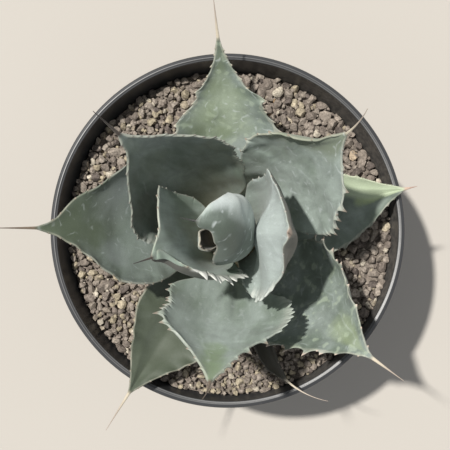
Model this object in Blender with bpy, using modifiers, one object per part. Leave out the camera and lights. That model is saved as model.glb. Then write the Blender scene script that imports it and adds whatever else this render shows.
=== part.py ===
"""A cabbage head agave in a round plastic pot, with a gravel top dressing.

The pot stands on z = 0 and its axis is the z axis. The rosette is built around its own
short stem, which stands a little off the pot's axis. The blades are listed from the
innermost one outwards and follow one another round the stem by the golden angle.
"""
import math
from collections import namedtuple

import bpy
import numpy as np
from mathutils import Vector
from mathutils.geometry import delaunay_2d_cdt

OBJECT_NAME = "potted_cabbage_head_agave"
MM = 0.001

# Pot, in millimetres
POT_HEIGHT = 125.0
RIM_RADIUS = 90.6
RIM_BAND = 3.5
COLLAR_HEIGHT = 12.0
COLLAR_OVERHANG = 3.0
RIM_ROUND = 0.9
RIM_EASE = 0.27
COLLAR_DRAFT = 0.2
COLLAR_EASE = 0.4
BASE_RADIUS = 62.0
WALL = 1.9
FLOOR = 2.4
BASE_ROUND = 2.0
POT_STEPS = 72
DRAIN_HOLES = 8
DRAIN_RADIUS = 4.5
DRAIN_RING = 41.0
DRAIN_TURN = 0.17
DRAIN_STEPS = 16

# Filling of the pot, in millimetres
GAP = 0.3
SOIL_TOP = 102.0
GRAVEL_TOP = 107.6
GRAVEL_DIP = 1.6
GRAVEL_DIP_RADIUS = 38.0
HEAP_AZIMUTH = -62.0
HEAP_START = -10.0
HEAP_END = 80.0
HEAP_HEIGHT = 8.0
HEAP_CLEAR = 55.0
STONE_PITCH = 9.6
STONE_RADIUS = 3.0
STONE_HEIGHT = 3.0
STONE_JITTER = 1.5
STONE_SIDES = 6
STONE_CROWN = 0.6
STONE_TILT = 0.16
STONE_MARGIN = 1.0
HOLLOW_DEPTH = 0.8
WIDEST_SPAN = 1.8
MERGE = 0.00001
GRAVEL_RIM_STEPS = 72
GRAVEL_HOLE_STEPS = 24
GRAVEL_SEED = 11

# Stem and the crown that the blades grow from, in millimetres
STEM_X = 2.0
STEM_Y = -2.0
STEM_FOOT = 66.0
STEM_FOOT_RADIUS = 8.0
STEM_TAPER_START = 88.0
STEM_TAPER_RADIUS = 12.0
STEM_NECK_RADIUS = 13.0
STEM_NECK_TOP = 111.0
CROWN_RADIUS = 23.5
CROWN_LOW = 113.0
CROWN_HIGH = 125.0
CROWN_TOP_RADIUS = 6.0
CROWN_TOP = 150.0
STEM_STEPS = 40

# Blades, in millimetres and degrees
EDGE = 0.9
TOOTH_HEIGHT = 2.2
TOOTH_BASE = 3.6
TOOTH_FIRST = 0.34
TOOTH_LAST = 0.95
SPINE_HALF = 1.5
SPINE_TIP_HALF = 0.35
SPINE_STATIONS = 3
BLADE_STATIONS = 11
BLADE_LINES = (-0.76, -0.4, 0.0, 0.4, 0.76)
TOOTH_SHORTEST = 0.55
TOOTH_STAGGER = 0.12
TOOTH_LEAN = 0.2
CUP_FADE = 0.45
TURN_EASE = 1.5
WIDEN_EASE = 1.6
WAVE_EASE = 2.5
WAVE_FADE = 0.7
WAVE_SHIFT = 0.35
FLESH_FADE = 0.62
FLESH_EASE = 2.5
SPINE_DEPTH = 1.7
YOUNG_SKIN = (0.23, 0.31, 0.27)
OLD_SKIN = (0.26, 0.33, 0.22)

Leaf = namedtuple(
    "Leaf",
    "base_azimuth base_radius base_z tip heading rise0 rise1 reach0 reach1 half_ccw half_cw base_share "
    "wide_at cup_ccw cup_cw roll0 roll1 taper wave waves wave_at spine spine_turn spine_rise teeth thick "
    "trims belly hug",
)

LEAF_DEFAULTS = dict(
    reach0=0.35,
    reach1=0.3,
    base_share=0.5,
    wide_at=0.5,
    roll0=0.0,
    roll1=0.0,
    taper=1.35,
    wave=1.2,
    waves=2.5,
    wave_at=0.0,
    spine=20.0,
    spine_turn=0.0,
    spine_rise=0.0,
    teeth=9,
    thick=6.0,
    trims=(),
    belly=(0.5, 0.3, 0.7, 0.0),
    hug=(0.0, 0.0, 0.6),
)


def leaf(azimuth, radius, z, tip, heading, rise, half_width, cup, **more):
    """One blade: where it leaves the stem, where its tip is, how steep it is and how wide.

    The pairs are the steepness at the base and at the tip, and the half widths and the
    cupping on the counter-clockwise (1) and the clockwise (-1) side, seen from above.
    trims are runs (side, at, reach, amount) where a margin bulges or falls in, belly is
    (at, reach, share across, height) of a fleshy swelling on the upper face, and hug is the
    extra cupping of either side at the base, and where along the blade it has gone.
    """
    values = dict(LEAF_DEFAULTS)
    values.update(more)
    return Leaf(
        base_azimuth=azimuth,
        base_radius=radius,
        base_z=z,
        tip=tip,
        heading=heading,
        rise0=rise[0],
        rise1=rise[1],
        half_ccw=half_width[0],
        half_cw=half_width[1],
        cup_ccw=cup[0],
        cup_cw=cup[1],
        **values,
    )


LEAVES = {
    "leaf_01": leaf(219, 4.0, 138, (-10.8, -6, 213), 219, (88, 86), (6.0, 8.5), (85, 80), wide_at=0.55,
                    base_share=0.6, taper=0.7, spine=3, teeth=4, thick=1.6),
    "leaf_02": leaf(-12, 5.0, 132, (-13, 4.5, 227), -12, (84, 172), (19, 19.5), (96, 90), wide_at=0.5,
                    base_share=0.7, taper=0.75, reach0=0.5, reach1=0.28, spine=6, teeth=3, thick=2.2,
                    hug=(50, 20, 0.6), trims=((-1, 0.915, 0.09, -3.6), (-1, 0.8, 0.2, -5.0))),
    "leaf_03": leaf(217, 10.5, 128, (-30, -10, 227), 197, (77, 60), (24.5, 30), (72, 8), wide_at=0.58,
                    base_share=0.37, taper=1.1, spine=13, thick=3.4, hug=(0, 130, 0.7),
                    trims=((-1, 0.7, 0.1, 2.4), (-1, 0.87, 0.1, -2.8), (-1, 0.27, 0.22, 3.5),
                           (1, 0.9, 0.08, -3.0))),
    "leaf_04": leaf(355, 11.0, 126, (23.2, 0, 226), 355, (80, 94), (27, 30), (40, 40), wide_at=0.55,
                    base_share=0.48, taper=0.9, reach0=0.4, spine=4, thick=3.8, belly=(0.66, 0.36, 0.9, 9.0),
                    hug=(65, 45, 0.65),
                    trims=((1, 0.9, 0.1, -2.0), (1, 0.65, 0.08, 3.0), (-1, 0.9, 0.1, -2.3),
                           (-1, 0.68, 0.08, 1.5), (1, 0.33, 0.18, 4.0))),
    "leaf_05": leaf(132, 13.0, 124, (-43, 38.5, 228), 138, (62, 62), (31, 34), (50, 60), wide_at=0.5,
                    base_share=0.36, taper=1.7, spine=21, thick=4.2,
                    trims=((-1, 0.7, 0.12, 2.0), (-1, 0.47, 0.12, -4.0), (-1, 0.2, 0.12, 4.0),
                           (1, 0.88, 0.08, -2.0))),
    "leaf_06": leaf(270, 14.0, 122, (-7.2, -57.4, 235), 262, (52, 75), (29, 27), (30, 50), wide_at=0.43,
                    base_share=0.26, taper=1.5, spine=17, thick=4.2,
                    trims=((-1, 0.64, 0.16, 6.5), (-1, 0.33, 0.16, 3.5), (1, 0.22, 0.14, -5.5),
                           (1, 0.75, 0.18, -3.5))),
    "leaf_07": leaf(47, 15.0, 121, (48, 40, 218), 37, (50, 62), (27, 32), (40, 40), wide_at=0.5,
                    base_share=0.34, taper=1.7, spine_turn=35, thick=4.4, trims=((-1, 0.74, 0.12, 3.5),)),
    "leaf_08": leaf(185, 16.0, 122, (-84.6, 1.6, 190), 180, (38, 32), (25, 41), (45, 45), wide_at=0.42,
                    base_share=0.3, taper=1.9, spine=19, thick=4.6, trims=((-1, 0.8, 0.1, 2.5),)),
    "leaf_09": leaf(322, 16.0, 120.5, (64.5, -56.6, 182), 325, (34, 40), (29, 30), (40, 40), wide_at=0.4,
                    base_share=0.27, taper=1.8, spine=18, thick=4.6,
                    trims=((1, 0.5, 0.1, -1.5), (1, 0.78, 0.18, 2.3))),
    "leaf_10": leaf(99, 17.0, 119, (-4.7, 91, 160), 97, (24, 32), (26, 30), (35, 35), wide_at=0.32,
                    base_share=0.36, taper=2.1, spine=21, thick=4.6,
                    trims=((1, 0.61, 0.08, -3.2), (-1, 0.645, 0.07, 4.5))),
    "leaf_11": leaf(237, 17.0, 118, (-48.4, -79.4, 143), 238, (16, 28), (24, 21.5), (35, 35), wide_at=0.4,
                    base_share=0.38, taper=1.5, spine=21, thick=4.6),
    "leaf_12": leaf(14, 17.0, 118, (89.4, 21.1, 130), 12, (8, 8), (19.5, 23), (55, 55), wide_at=0.4,
                    base_share=0.38, taper=1.5, spine=6, thick=4.6),
    "leaf_13": leaf(156, 17.0, 117.5, (-50, 17, 131), 163, (10, 18), (14, 14), (40, 40), wide_at=0.4,
                    base_share=0.5, taper=1.5, spine=8, teeth=6, thick=3.2),
    "leaf_14": leaf(287, 17.0, 117, (29, -74.4, 135), 318, (10, 15), (7, 7), (80, 80), wide_at=0.5,
                    base_share=0.6, spine=23, spine_turn=34, teeth=7, thick=3.0),
}


def clear_scene():
    for item in list(bpy.data.objects):
        bpy.data.objects.remove(item, do_unlink=True)


def new_collection(name):
    collection = bpy.data.collections.new(name)
    bpy.context.scene.collection.children.link(collection)
    return collection


def new_material(name, colour, roughness):
    material = bpy.data.materials.new(name)
    material.use_nodes = True
    shader = material.node_tree.nodes["Principled BSDF"]
    shader.inputs["Base Color"].default_value = (*colour, 1.0)
    shader.inputs["Roughness"].default_value = roughness
    return material


def add_mesh(name, points, faces, collection, material=None, smooth=True):
    """A mesh object from points in millimetres"""
    mesh = bpy.data.meshes.new(name)
    mesh.from_pydata([tuple(p * MM for p in point) for point in points], [], faces)
    mesh.update()
    if smooth:
        mesh.shade_smooth()
    item = bpy.data.objects.new(name, mesh)
    collection.objects.link(item)
    if material:
        mesh.materials.append(material)
    return item


def turned(name, profile, steps, collection, material=None, centre=(0.0, 0.0)):
    """A turned body; the profile of (radius, height) points runs down its outer side"""
    points = [(radius, 0.0, height) for radius, height in profile]
    edges = [(i, i + 1) for i in range(len(points) - 1)]
    mesh = bpy.data.meshes.new(name)
    mesh.from_pydata([tuple(p * MM for p in point) for point in points], edges, [])
    item = bpy.data.objects.new(name, mesh)
    item.location = (centre[0] * MM, centre[1] * MM, 0.0)
    collection.objects.link(item)
    screw = item.modifiers.new("turn", "SCREW")
    screw.axis = "Z"
    screw.angle = math.tau
    screw.steps = steps
    screw.render_steps = steps
    screw.use_merge_vertices = True
    screw.merge_threshold = MERGE
    screw.use_smooth_shade = True
    if material:
        mesh.materials.append(material)
    return item


def cut(item, cutter, name="cut"):
    boolean = item.modifiers.new(name, "BOOLEAN")
    boolean.operation = "DIFFERENCE"
    boolean.solver = "EXACT"
    boolean.object = cutter
    return boolean


def hide_cutter(item):
    item.hide_render = True
    item.display_type = "WIRE"


def wall_outer_radius(height):
    """Outer radius of the pot's tapered wall below the collar"""
    top = RIM_RADIUS - COLLAR_OVERHANG
    return BASE_RADIUS + (top - BASE_RADIUS) * height / (POT_HEIGHT - COLLAR_HEIGHT)


def wall_inner_radius(height):
    """Inner radius of the pot at a height above its floor"""
    shoulder = POT_HEIGHT - COLLAR_HEIGHT
    if height <= shoulder:
        return wall_outer_radius(height) - WALL
    low = wall_outer_radius(shoulder) - WALL
    return low + (RIM_RADIUS - RIM_BAND - low) * (height - shoulder) / COLLAR_HEIGHT


def build_pot(collection, cutters):
    shoulder = POT_HEIGHT - COLLAR_HEIGHT
    profile = [
        (RIM_RADIUS - RIM_BAND + RIM_EASE, POT_HEIGHT),
        (RIM_RADIUS - RIM_ROUND, POT_HEIGHT),
        (RIM_RADIUS - RIM_EASE, POT_HEIGHT - RIM_EASE),
        (RIM_RADIUS, POT_HEIGHT - RIM_ROUND),
        (RIM_RADIUS - COLLAR_DRAFT, shoulder + COLLAR_EASE),
        (RIM_RADIUS - COLLAR_DRAFT - COLLAR_EASE, shoulder),
        (wall_outer_radius(shoulder - COLLAR_EASE), shoulder - COLLAR_EASE),
        (wall_outer_radius(BASE_ROUND), BASE_ROUND),
        (BASE_RADIUS - BASE_ROUND, 0.0),
        (0.0, 0.0),
    ]
    inside = [
        (0.0, FLOOR),
        (wall_inner_radius(FLOOR), FLOOR),
        (wall_inner_radius(shoulder), shoulder),
        (RIM_RADIUS - RIM_BAND, POT_HEIGHT - RIM_ROUND),
        (RIM_RADIUS - RIM_BAND + RIM_EASE, POT_HEIGHT),
    ]
    material = new_material("pot_plastic", (0.028, 0.029, 0.032), 0.45)
    pot = turned("pot", profile + inside, POT_STEPS, collection, material)
    for index in range(DRAIN_HOLES):
        angle = math.tau * (index + DRAIN_TURN) / DRAIN_HOLES
        hole = turned(
            f"drain_hole_{index + 1}",
            [(0.0, 2.0 * FLOOR), (DRAIN_RADIUS, 2.0 * FLOOR), (DRAIN_RADIUS, -FLOOR), (0.0, -FLOOR)],
            DRAIN_STEPS,
            cutters,
            centre=(DRAIN_RING * math.cos(angle), DRAIN_RING * math.sin(angle)),
        )
        hide_cutter(hole)
        cut(pot, hole, f"drain_{index + 1}")
    return pot


def stem_profile(clearance):
    """The stem's outline down its outer side, grown outwards by a clearance"""
    return [
        (0.0, CROWN_TOP + clearance),
        (CROWN_TOP_RADIUS + clearance, CROWN_TOP + clearance),
        (CROWN_RADIUS + clearance, CROWN_HIGH + clearance),
        (CROWN_RADIUS + clearance, CROWN_LOW - clearance),
        (STEM_NECK_RADIUS + clearance, STEM_NECK_TOP - clearance),
        (STEM_TAPER_RADIUS + clearance, STEM_TAPER_START),
        (STEM_FOOT_RADIUS + clearance, STEM_FOOT - clearance),
        (0.0, STEM_FOOT - clearance),
    ]


def build_stem(collection, cutters):
    material = new_material("stem_tissue", (0.33, 0.29, 0.18), 0.8)
    centre = (STEM_X, STEM_Y)
    stem = turned("stem", stem_profile(0.0), STEM_STEPS, collection, material, centre)
    clearance = turned("stem_clearance", stem_profile(GAP), STEM_STEPS, cutters, centre=centre)
    hide_cutter(clearance)
    return stem, clearance


def build_soil(collection, clearance):
    low = FLOOR + GAP
    profile = [
        (0.0, SOIL_TOP),
        (wall_inner_radius(SOIL_TOP) - GAP, SOIL_TOP),
        (wall_inner_radius(low) - GAP, low),
        (0.0, low),
    ]
    material = new_material("potting_soil", (0.09, 0.062, 0.04), 0.95)
    soil = turned("soil", profile, POT_STEPS, collection, material)
    cut(soil, clearance, "stem_hole")
    return soil


def gravel_level(x, y):
    """Height of the gravel between the stones: a dip round the stem, and a heap on one side of the pot"""
    distance = math.hypot(x - STEM_X, y - STEM_Y)
    share = max(0.0, 1.0 - distance / GRAVEL_DIP_RADIUS)
    turn = math.radians(HEAP_AZIMUTH)
    along = (x * math.cos(turn) + y * math.sin(turn) - HEAP_START) / (HEAP_END - HEAP_START)
    along = min(1.0, max(0.0, along))
    heap = HEAP_HEIGHT * along * along * (3.0 - 2.0 * along) * min(1.0, distance / HEAP_CLEAR) ** 3
    return GRAVEL_TOP - GRAVEL_DIP * share + heap


def ring(radius, steps, centre=(0.0, 0.0)):
    return [
        (
            centre[0] + radius * math.cos(math.tau * i / steps),
            centre[1] + radius * math.sin(math.tau * i / steps),
        )
        for i in range(steps)
    ]


def stone_centres(rng, outer, hole):
    """Seeded centres on a loose honeycomb between the pot's wall and the stem's hole"""
    centres = []
    edge = STONE_RADIUS + STONE_MARGIN
    row_step = STONE_PITCH * math.sin(math.radians(60))
    rows = int(outer / row_step) + 1
    for row in range(-rows, rows + 1):
        for column in range(-rows - 2, rows + 3):
            x = (column + 0.5 * (row % 2)) * STONE_PITCH + rng.uniform(-STONE_JITTER, STONE_JITTER)
            y = row * row_step + rng.uniform(-STONE_JITTER, STONE_JITTER)
            from_stem = math.hypot(x - STEM_X, y - STEM_Y)
            if math.hypot(x, y) < outer - edge and from_stem > hole + edge:
                centres.append((x, y))
    return centres


def build_gravel(collection):
    """A layer whose top is raised into stones, each a low faceted knob in its own hollow"""
    rng = np.random.default_rng(GRAVEL_SEED)
    low = SOIL_TOP + GAP
    outer = wall_inner_radius(low) - GAP
    hole = STEM_NECK_RADIUS + 2.0 * GAP
    foot = ring(outer, GRAVEL_RIM_STEPS)
    rim = []
    for x, y in foot:
        spread = (wall_inner_radius(gravel_level(x, y)) - GAP) / outer
        rim.append((x * spread, y * spread))
    inner = ring(hole, GRAVEL_HOLE_STEPS, (STEM_X, STEM_Y))
    centres = stone_centres(rng, outer, hole)
    points = [(x, y, gravel_level(x, y)) for x, y in rim + inner]
    for x, y in centres:
        top = gravel_level(x, y) + STONE_HEIGHT * rng.uniform(0.65, 1.0)
        tilt_x, tilt_y = rng.uniform(-STONE_TILT, STONE_TILT, 2)
        turn = rng.uniform(0.0, math.tau)
        points.append((x, y, top + STONE_CROWN))
        for side in range(STONE_SIDES):
            angle = turn + math.tau * side / STONE_SIDES
            reach = STONE_RADIUS * rng.uniform(0.75, 1.2)
            dx, dy = reach * math.cos(angle), reach * math.sin(angle)
            points.append((x + dx, y + dy, top + tilt_x * dx + tilt_y * dy))
    _, _, spans, _, _, _ = delaunay_2d_cdt([Vector(c) for c in centres], [], [], 0, MERGE)
    for span in spans:
        corners = np.array([centres[i] for i in span])
        size = max(np.linalg.norm(corners[i] - corners[i - 1]) for i in range(3))
        if size < WIDEST_SPAN * STONE_PITCH:
            x, y = corners.mean(axis=0)
            points.append((x, y, gravel_level(x, y) - HOLLOW_DEPTH))
    count = len(rim)
    loops = [list(range(count)), list(range(count, count + len(inner)))[::-1]]
    edges = [(loop[i - 1], loop[i]) for loop in loops for i in range(len(loop))]
    flat = [Vector(point[:2]) for point in points]
    found, _, faces, origin, _, _ = delaunay_2d_cdt(flat, edges, [], 0, MERGE)
    heights = [points[source[0]][2] for source in origin]
    top = [(p.x, p.y, z) for p, z in zip(found, heights)]
    index = {source[0]: i for i, source in enumerate(origin)}
    hole_edge = {index[i] for i in loops[1]}
    keep = [tuple(face) for face in faces if not hole_edge.issuperset(face)]
    vertices = list(top)
    bottom = {}
    for number, (x, y) in enumerate(foot + inner):
        bottom[number] = len(vertices)
        vertices.append((x, y, low))
    rim_flat = [Vector(p) for p in foot + inner]
    _, _, floor_faces, _, _, _ = delaunay_2d_cdt(rim_flat, edges, [], 0, MERGE)
    for face in floor_faces:
        if min(face) < count:
            keep.append(tuple(bottom[i] for i in reversed(face)))
    for loop in loops:
        for i in range(len(loop)):
            a, b = loop[i - 1], loop[i]
            keep.append((index[b], index[a], bottom[a]))
            keep.append((index[b], bottom[a], bottom[b]))
    material = new_material("gravel_stone", (0.36, 0.31, 0.26), 0.9)
    return add_mesh("gravel", vertices, keep, collection, material, smooth=False)


def direction(azimuth, rise):
    a, e = math.radians(azimuth), math.radians(rise)
    return np.array([math.cos(a) * math.cos(e), math.sin(a) * math.cos(e), math.sin(e)])


def unit(v):
    return v / np.linalg.norm(v, axis=-1, keepdims=True)


def midrib(lf, u):
    """Points, sides and upper normals of the blade's middle line, u from 0 to 1"""
    a = math.radians(lf.base_azimuth)
    start = np.array([
        STEM_X + lf.base_radius * math.cos(a),
        STEM_Y + lf.base_radius * math.sin(a),
        lf.base_z,
    ])
    end = np.array(lf.tip, float)
    span = np.linalg.norm(end - start)
    first = start + direction(lf.base_azimuth, lf.rise0) * span * lf.reach0
    second = end - direction(lf.heading, lf.rise1) * span * lf.reach1
    u = np.asarray(u, float)[:, None]
    v = 1.0 - u
    middle = v**3 * start + 3 * v**2 * u * first + 3 * v * u**2 * second + u**3 * end
    tangent = unit(3 * v**2 * (first - start) + 6 * v * u * (second - first) + 3 * u**2 * (end - second))
    turn = (lf.heading - lf.base_azimuth + 180) % 360 - 180
    azimuth = np.radians(lf.base_azimuth + turn * u[:, 0] ** TURN_EASE)
    side = np.stack([-np.sin(azimuth), np.cos(azimuth), 0 * azimuth], axis=1)
    side = unit(side - (side * tangent).sum(1, keepdims=True) * tangent)
    up = np.cross(tangent, side)
    roll = np.radians(lf.roll0 + (lf.roll1 - lf.roll0) * u)
    return (
        middle,
        tangent,
        side * np.cos(roll) + up * np.sin(roll),
        up * np.cos(roll) - side * np.sin(roll),
    )


def half_width(lf, u, t):
    """Half width of the blade on the side that t lies on"""
    u = np.asarray(u, float)
    rising = np.sin(0.5 * np.pi * np.clip(u / lf.wide_at, 0, 1)) ** WIDEN_EASE
    falling = np.cos(0.5 * np.pi * np.clip((u - lf.wide_at) / (1 - lf.wide_at), 0, 1)) ** lf.taper
    share = np.where(u < lf.wide_at, lf.base_share + (1 - lf.base_share) * rising, falling)
    trimmed = 0.0 * u
    for side, at, reach, amount in lf.trims:
        run = np.cos(0.5 * np.pi * np.clip((u - at) / reach, -1, 1)) ** 2
        trimmed = trimmed + np.where(np.sign(t) == side, amount * run, 0.0)
    return trimmed + share * np.where(np.asarray(t) > 0, lf.half_ccw, lf.half_cw) + SPINE_HALF * u**4


def blade_cup(lf, u, t):
    """Angle that the blade's section turns through from its middle to its margin"""
    ccw, cw, until = lf.hug
    near_base = np.clip(1.0 - u / until, 0, 1) ** 2
    degrees = np.where(t > 0, lf.cup_ccw, lf.cup_cw) * (1.0 - CUP_FADE * u**2)
    return np.radians(degrees + np.where(t > 0, ccw, cw) * near_base)


def belly(lf, u, t):
    """How far the upper face swells where the blade is fleshy"""
    at, reach, across, height = lf.belly
    along = np.cos(0.5 * np.pi * np.clip((np.asarray(u) - at) / reach, -1, 1)) ** 2
    return height * along * np.cos(0.5 * np.pi * np.clip(np.asarray(t) / across, -1, 1)) ** 2


def blade_point(lf, u, t, below=0.0):
    """Points of the rolled blade, u along it, t across it, below its upper face"""
    u, t = np.asarray(u, float), np.asarray(t, float)
    middle, _, side, up = midrib(lf, u)
    cup = blade_cup(lf, u, t)
    radius = half_width(lf, u, t) / cup
    angle = (cup * t)[:, None]
    normal = up * np.cos(angle) - side * np.sin(angle)
    swell = np.sin(math.tau * (lf.waves * u + lf.wave_at + WAVE_SHIFT * np.sign(t)))
    swell = lf.wave * swell * np.minimum(np.abs(t), 1.0) ** WAVE_EASE * np.sin(np.pi * u) ** WAVE_FADE
    point = middle + radius[:, None] * (side * np.sin(angle) + up * (1 - np.cos(angle)))
    return point + normal * (swell + belly(lf, u, t) - below)[:, None]


def spine_point(lf, s, t, below=0.0):
    """Points of the terminal spine, s from 0 at the blade's tip to 1 at its point"""
    middle, tangent, side, up = midrib(lf, [1.0])
    rise = math.degrees(math.asin(tangent[0][2]))
    azimuth = math.degrees(math.atan2(tangent[0][1], tangent[0][0]))
    heading = direction(azimuth + 0.5 * lf.spine_turn * s, rise + 0.5 * lf.spine_rise * s)
    half = SPINE_HALF + (SPINE_TIP_HALF - SPINE_HALF) * s
    return middle[0] + heading * lf.spine * s + side[0] * half * t - up[0] * (below + (SPINE_HALF - half))


def blade_outline(lf):
    """The toothed outline as (u, t) pairs; past the tip u runs on from 1 to 2 along the spine"""
    length = np.linalg.norm(np.array(lf.tip) - np.array([STEM_X, STEM_Y, lf.base_z]))
    half_base = 0.5 * TOOTH_BASE / length
    sides = {}
    for sign in (-1.0, 1.0):
        line = [(0.0, sign), (0.5 * TOOTH_FIRST, sign)]
        for k in range(lf.teeth):
            share = (k + 0.5 + TOOTH_STAGGER * sign) / lf.teeth
            at = TOOTH_FIRST + (TOOTH_LAST - TOOTH_FIRST) * share
            height = TOOTH_HEIGHT * (TOOTH_SHORTEST + (1 - TOOTH_SHORTEST) * math.sin(math.pi * share))
            width = float(half_width(lf, at, sign))
            line.append((at - half_base, sign))
            line.append((at + TOOTH_LEAN * half_base * (-1) ** k, sign * (1.0 + height / width)))
            line.append((at + half_base, sign))
        line.append((1.0, sign))
        line += [(1.0 + (i + 1) / SPINE_STATIONS, sign) for i in range(SPINE_STATIONS)]
        sides[sign] = line
    return sides[-1.0] + sides[1.0][::-1]


def leaf_depth(lf, u, t):
    """Thickness of the blade: fleshy along the middle, thin at the margins and teeth"""
    flesh = lf.thick * (1.0 - FLESH_FADE * u) * (1.0 - min(abs(t), 1.0) ** FLESH_EASE)
    return EDGE + flesh + float(belly(lf, u, t))


def build_leaf(name, lf, collection, colour):
    outline = blade_outline(lf)
    length = np.linalg.norm(np.array(lf.tip) - np.array([STEM_X, STEM_Y, lf.base_z]))
    inner = [
        ((i + 0.5) / BLADE_STATIONS, line)
        for i in range(BLADE_STATIONS)
        for line in BLADE_LINES
    ]
    params = outline + [(0.0, line) for line in BLADE_LINES] + inner
    flat = []
    for u, t in params:
        if u <= 1.0:
            flat.append(Vector((u * length, t * float(half_width(lf, u, t)))))
        else:
            half = SPINE_HALF + (SPINE_TIP_HALF - SPINE_HALF) * (u - 1.0)
            flat.append(Vector((length + (u - 1.0) * lf.spine, t * half)))
    count = len(outline)
    base = list(range(count, count + len(BLADE_LINES)))
    loop = list(range(count)) + base[::-1]
    found, _, faces, origin, _, _ = delaunay_2d_cdt(flat, [], [loop], 1, MERGE)
    used = [params[source[0]] for source in origin]
    index = {source[0]: i for i, source in enumerate(origin)}
    top, bottom = [], []
    for u, t in used:
        if u <= 1.0:
            top.append(blade_point(lf, [u], [t])[0])
            bottom.append(blade_point(lf, [u], [t], leaf_depth(lf, u, t))[0])
        else:
            half = SPINE_HALF + (SPINE_TIP_HALF - SPINE_HALF) * (u - 1.0)
            top.append(spine_point(lf, u - 1.0, t))
            bottom.append(spine_point(lf, u - 1.0, t, SPINE_DEPTH * half))
    total = len(top)
    triangles = [tuple(face) for face in faces]
    triangles += [tuple(i + total for i in reversed(face)) for face in faces]
    for i in range(len(loop)):
        a, b = index[loop[i - 1]], index[loop[i]]
        triangles.append((b, a, a + total))
        triangles.append((b, a + total, b + total))
    material = new_material(f"{name}_skin", colour, 0.6)
    return add_mesh(name, top + bottom, triangles, collection, material)


def build():
    clear_scene()
    parts = new_collection(OBJECT_NAME)
    cutters = new_collection("cutters")
    build_pot(parts, cutters)
    _, clearance = build_stem(parts, cutters)
    build_soil(parts, clearance)
    build_gravel(parts)
    for number, (name, lf) in enumerate(LEAVES.items()):
        age = number / (len(LEAVES) - 1)
        colour = [young + (old - young) * age for young, old in zip(YOUNG_SKIN, OLD_SKIN)]
        item = build_leaf(name, lf, parts, colour)
        cut(item, clearance, "stem_seat")


build()
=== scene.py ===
"""The look of the potted cabbage head agave: fine toothed blades, loose gravel and a turned pot.

Lengths are millimetres and angles are degrees. Only the materials count in metres, as their
coordinates do. The blades follow the same midribs, widths and cupping as the solids that they
stand for. A place on a blade is given by u, from 0 at its base to 1 at its tip, and by t, from -1
at its clockwise margin to 1 at its counter-clockwise one, seen from above. A side is a sign of t.
"""

import math
from functools import reduce
from typing import NamedTuple

import bmesh
import bpy
import numpy as np
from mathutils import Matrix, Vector

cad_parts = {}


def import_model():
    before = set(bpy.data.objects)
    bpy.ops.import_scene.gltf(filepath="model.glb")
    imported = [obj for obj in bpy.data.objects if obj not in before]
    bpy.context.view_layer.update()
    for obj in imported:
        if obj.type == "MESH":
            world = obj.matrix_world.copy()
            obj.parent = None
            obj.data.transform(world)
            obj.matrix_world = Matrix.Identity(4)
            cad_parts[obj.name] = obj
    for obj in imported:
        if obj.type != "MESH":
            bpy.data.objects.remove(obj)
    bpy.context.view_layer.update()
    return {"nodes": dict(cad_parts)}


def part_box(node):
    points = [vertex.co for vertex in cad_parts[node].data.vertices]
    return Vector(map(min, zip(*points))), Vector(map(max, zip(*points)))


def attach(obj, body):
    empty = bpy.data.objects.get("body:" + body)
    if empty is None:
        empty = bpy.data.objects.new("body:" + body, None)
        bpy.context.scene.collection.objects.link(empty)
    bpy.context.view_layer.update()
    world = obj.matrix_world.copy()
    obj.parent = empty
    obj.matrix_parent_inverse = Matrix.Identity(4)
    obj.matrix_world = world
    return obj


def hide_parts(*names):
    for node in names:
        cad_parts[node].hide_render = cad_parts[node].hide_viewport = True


MM = 0.001
SWELL_WAVES = 9

# Pot
POT_HEIGHT = 125.0
RIM_RADIUS = 90.6
RIM_BAND = 3.5
RIM_LIP = 0.5
RIM_LEAN = 0.2
RIM_ROUND = 1.1
RIM_CROWN = 0.22
COLLAR_HEIGHT = 12.0
COLLAR_OVERHANG = 3.0
COLLAR_DRAFT = 0.2
COLLAR_EASE = 0.5
SHOULDER = POT_HEIGHT - COLLAR_HEIGHT
WALL = 1.9
WALL_RINGS = (30.0, 60.0, 90.0)
WALL_FOOT = 4.0
FLOOR = 2.4
BASE_RADIUS = 62.0
BASE_ROUND = 2.0
BASE_RINGS = (50.0, 30.0)
POT_STEPS = 192
ROUND_STEPS = 5
DRAIN_HOLES = 8
DRAIN_RADIUS = 4.5
DRAIN_RING = 41.0
DRAIN_TURN = 0.17
DRAIN_STEPS = 32

# Filling of the pot
GAP = 0.3
SOIL_TOP = 102.0
GRAVEL_TOP = 107.6
GRAVEL_DIP = 1.6
GRAVEL_DIP_RADIUS = 38.0
HEAP_AZIMUTH = -62.0
HEAP_START = -10.0
HEAP_END = 80.0
HEAP_HEIGHT = 8.0
HEAP_CLEAR = 55.0
BED_DROP = 1.7
BED_BUMP = 0.4
BED_BUMP_SIZE = 6.0
BED_STEPS = 144
BED_ROWS = 24

# Grains
GRAVEL_SEED = 23
GRAIN_SMALL = 1.1
GRAIN_LARGE = 3.1
GRAIN_SPREAD = (1.6, 3.4)
GRAIN_FINE_AREA = 0.82
GRAIN_COARSE_AREA = 0.42
GRAIN_USUAL = 1.7
GRAIN_SINK = 0.35
GRAIN_UNEVEN = (-0.7, 0.6)
GRAIN_LUMPS = (0.94, 1.1)
GRAIN_CUTS = (0.42, 0.8)
GRAIN_STRETCH = (0.82, 1.3)
GRAIN_FLAT = 0.9
GRAIN_CREASE = 24.0
GRAIN_ORDER = (0.75, 1.0)
GRAIN_CLEAR = 1.0
COARSE_USUAL = 0.45
COARSE_CHANGE = 0.5
COARSE_WAY = (0.8, 0.6)
COARSE_RISE = (-10.0, 60.0)
FINE_X = (-35.0, 5.0)
FINE_Y = (45.0, 75.0)

# Stem
STEM_X = 2.0
STEM_Y = -2.0
STEM_NECK_RADIUS = 13.0

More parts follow.
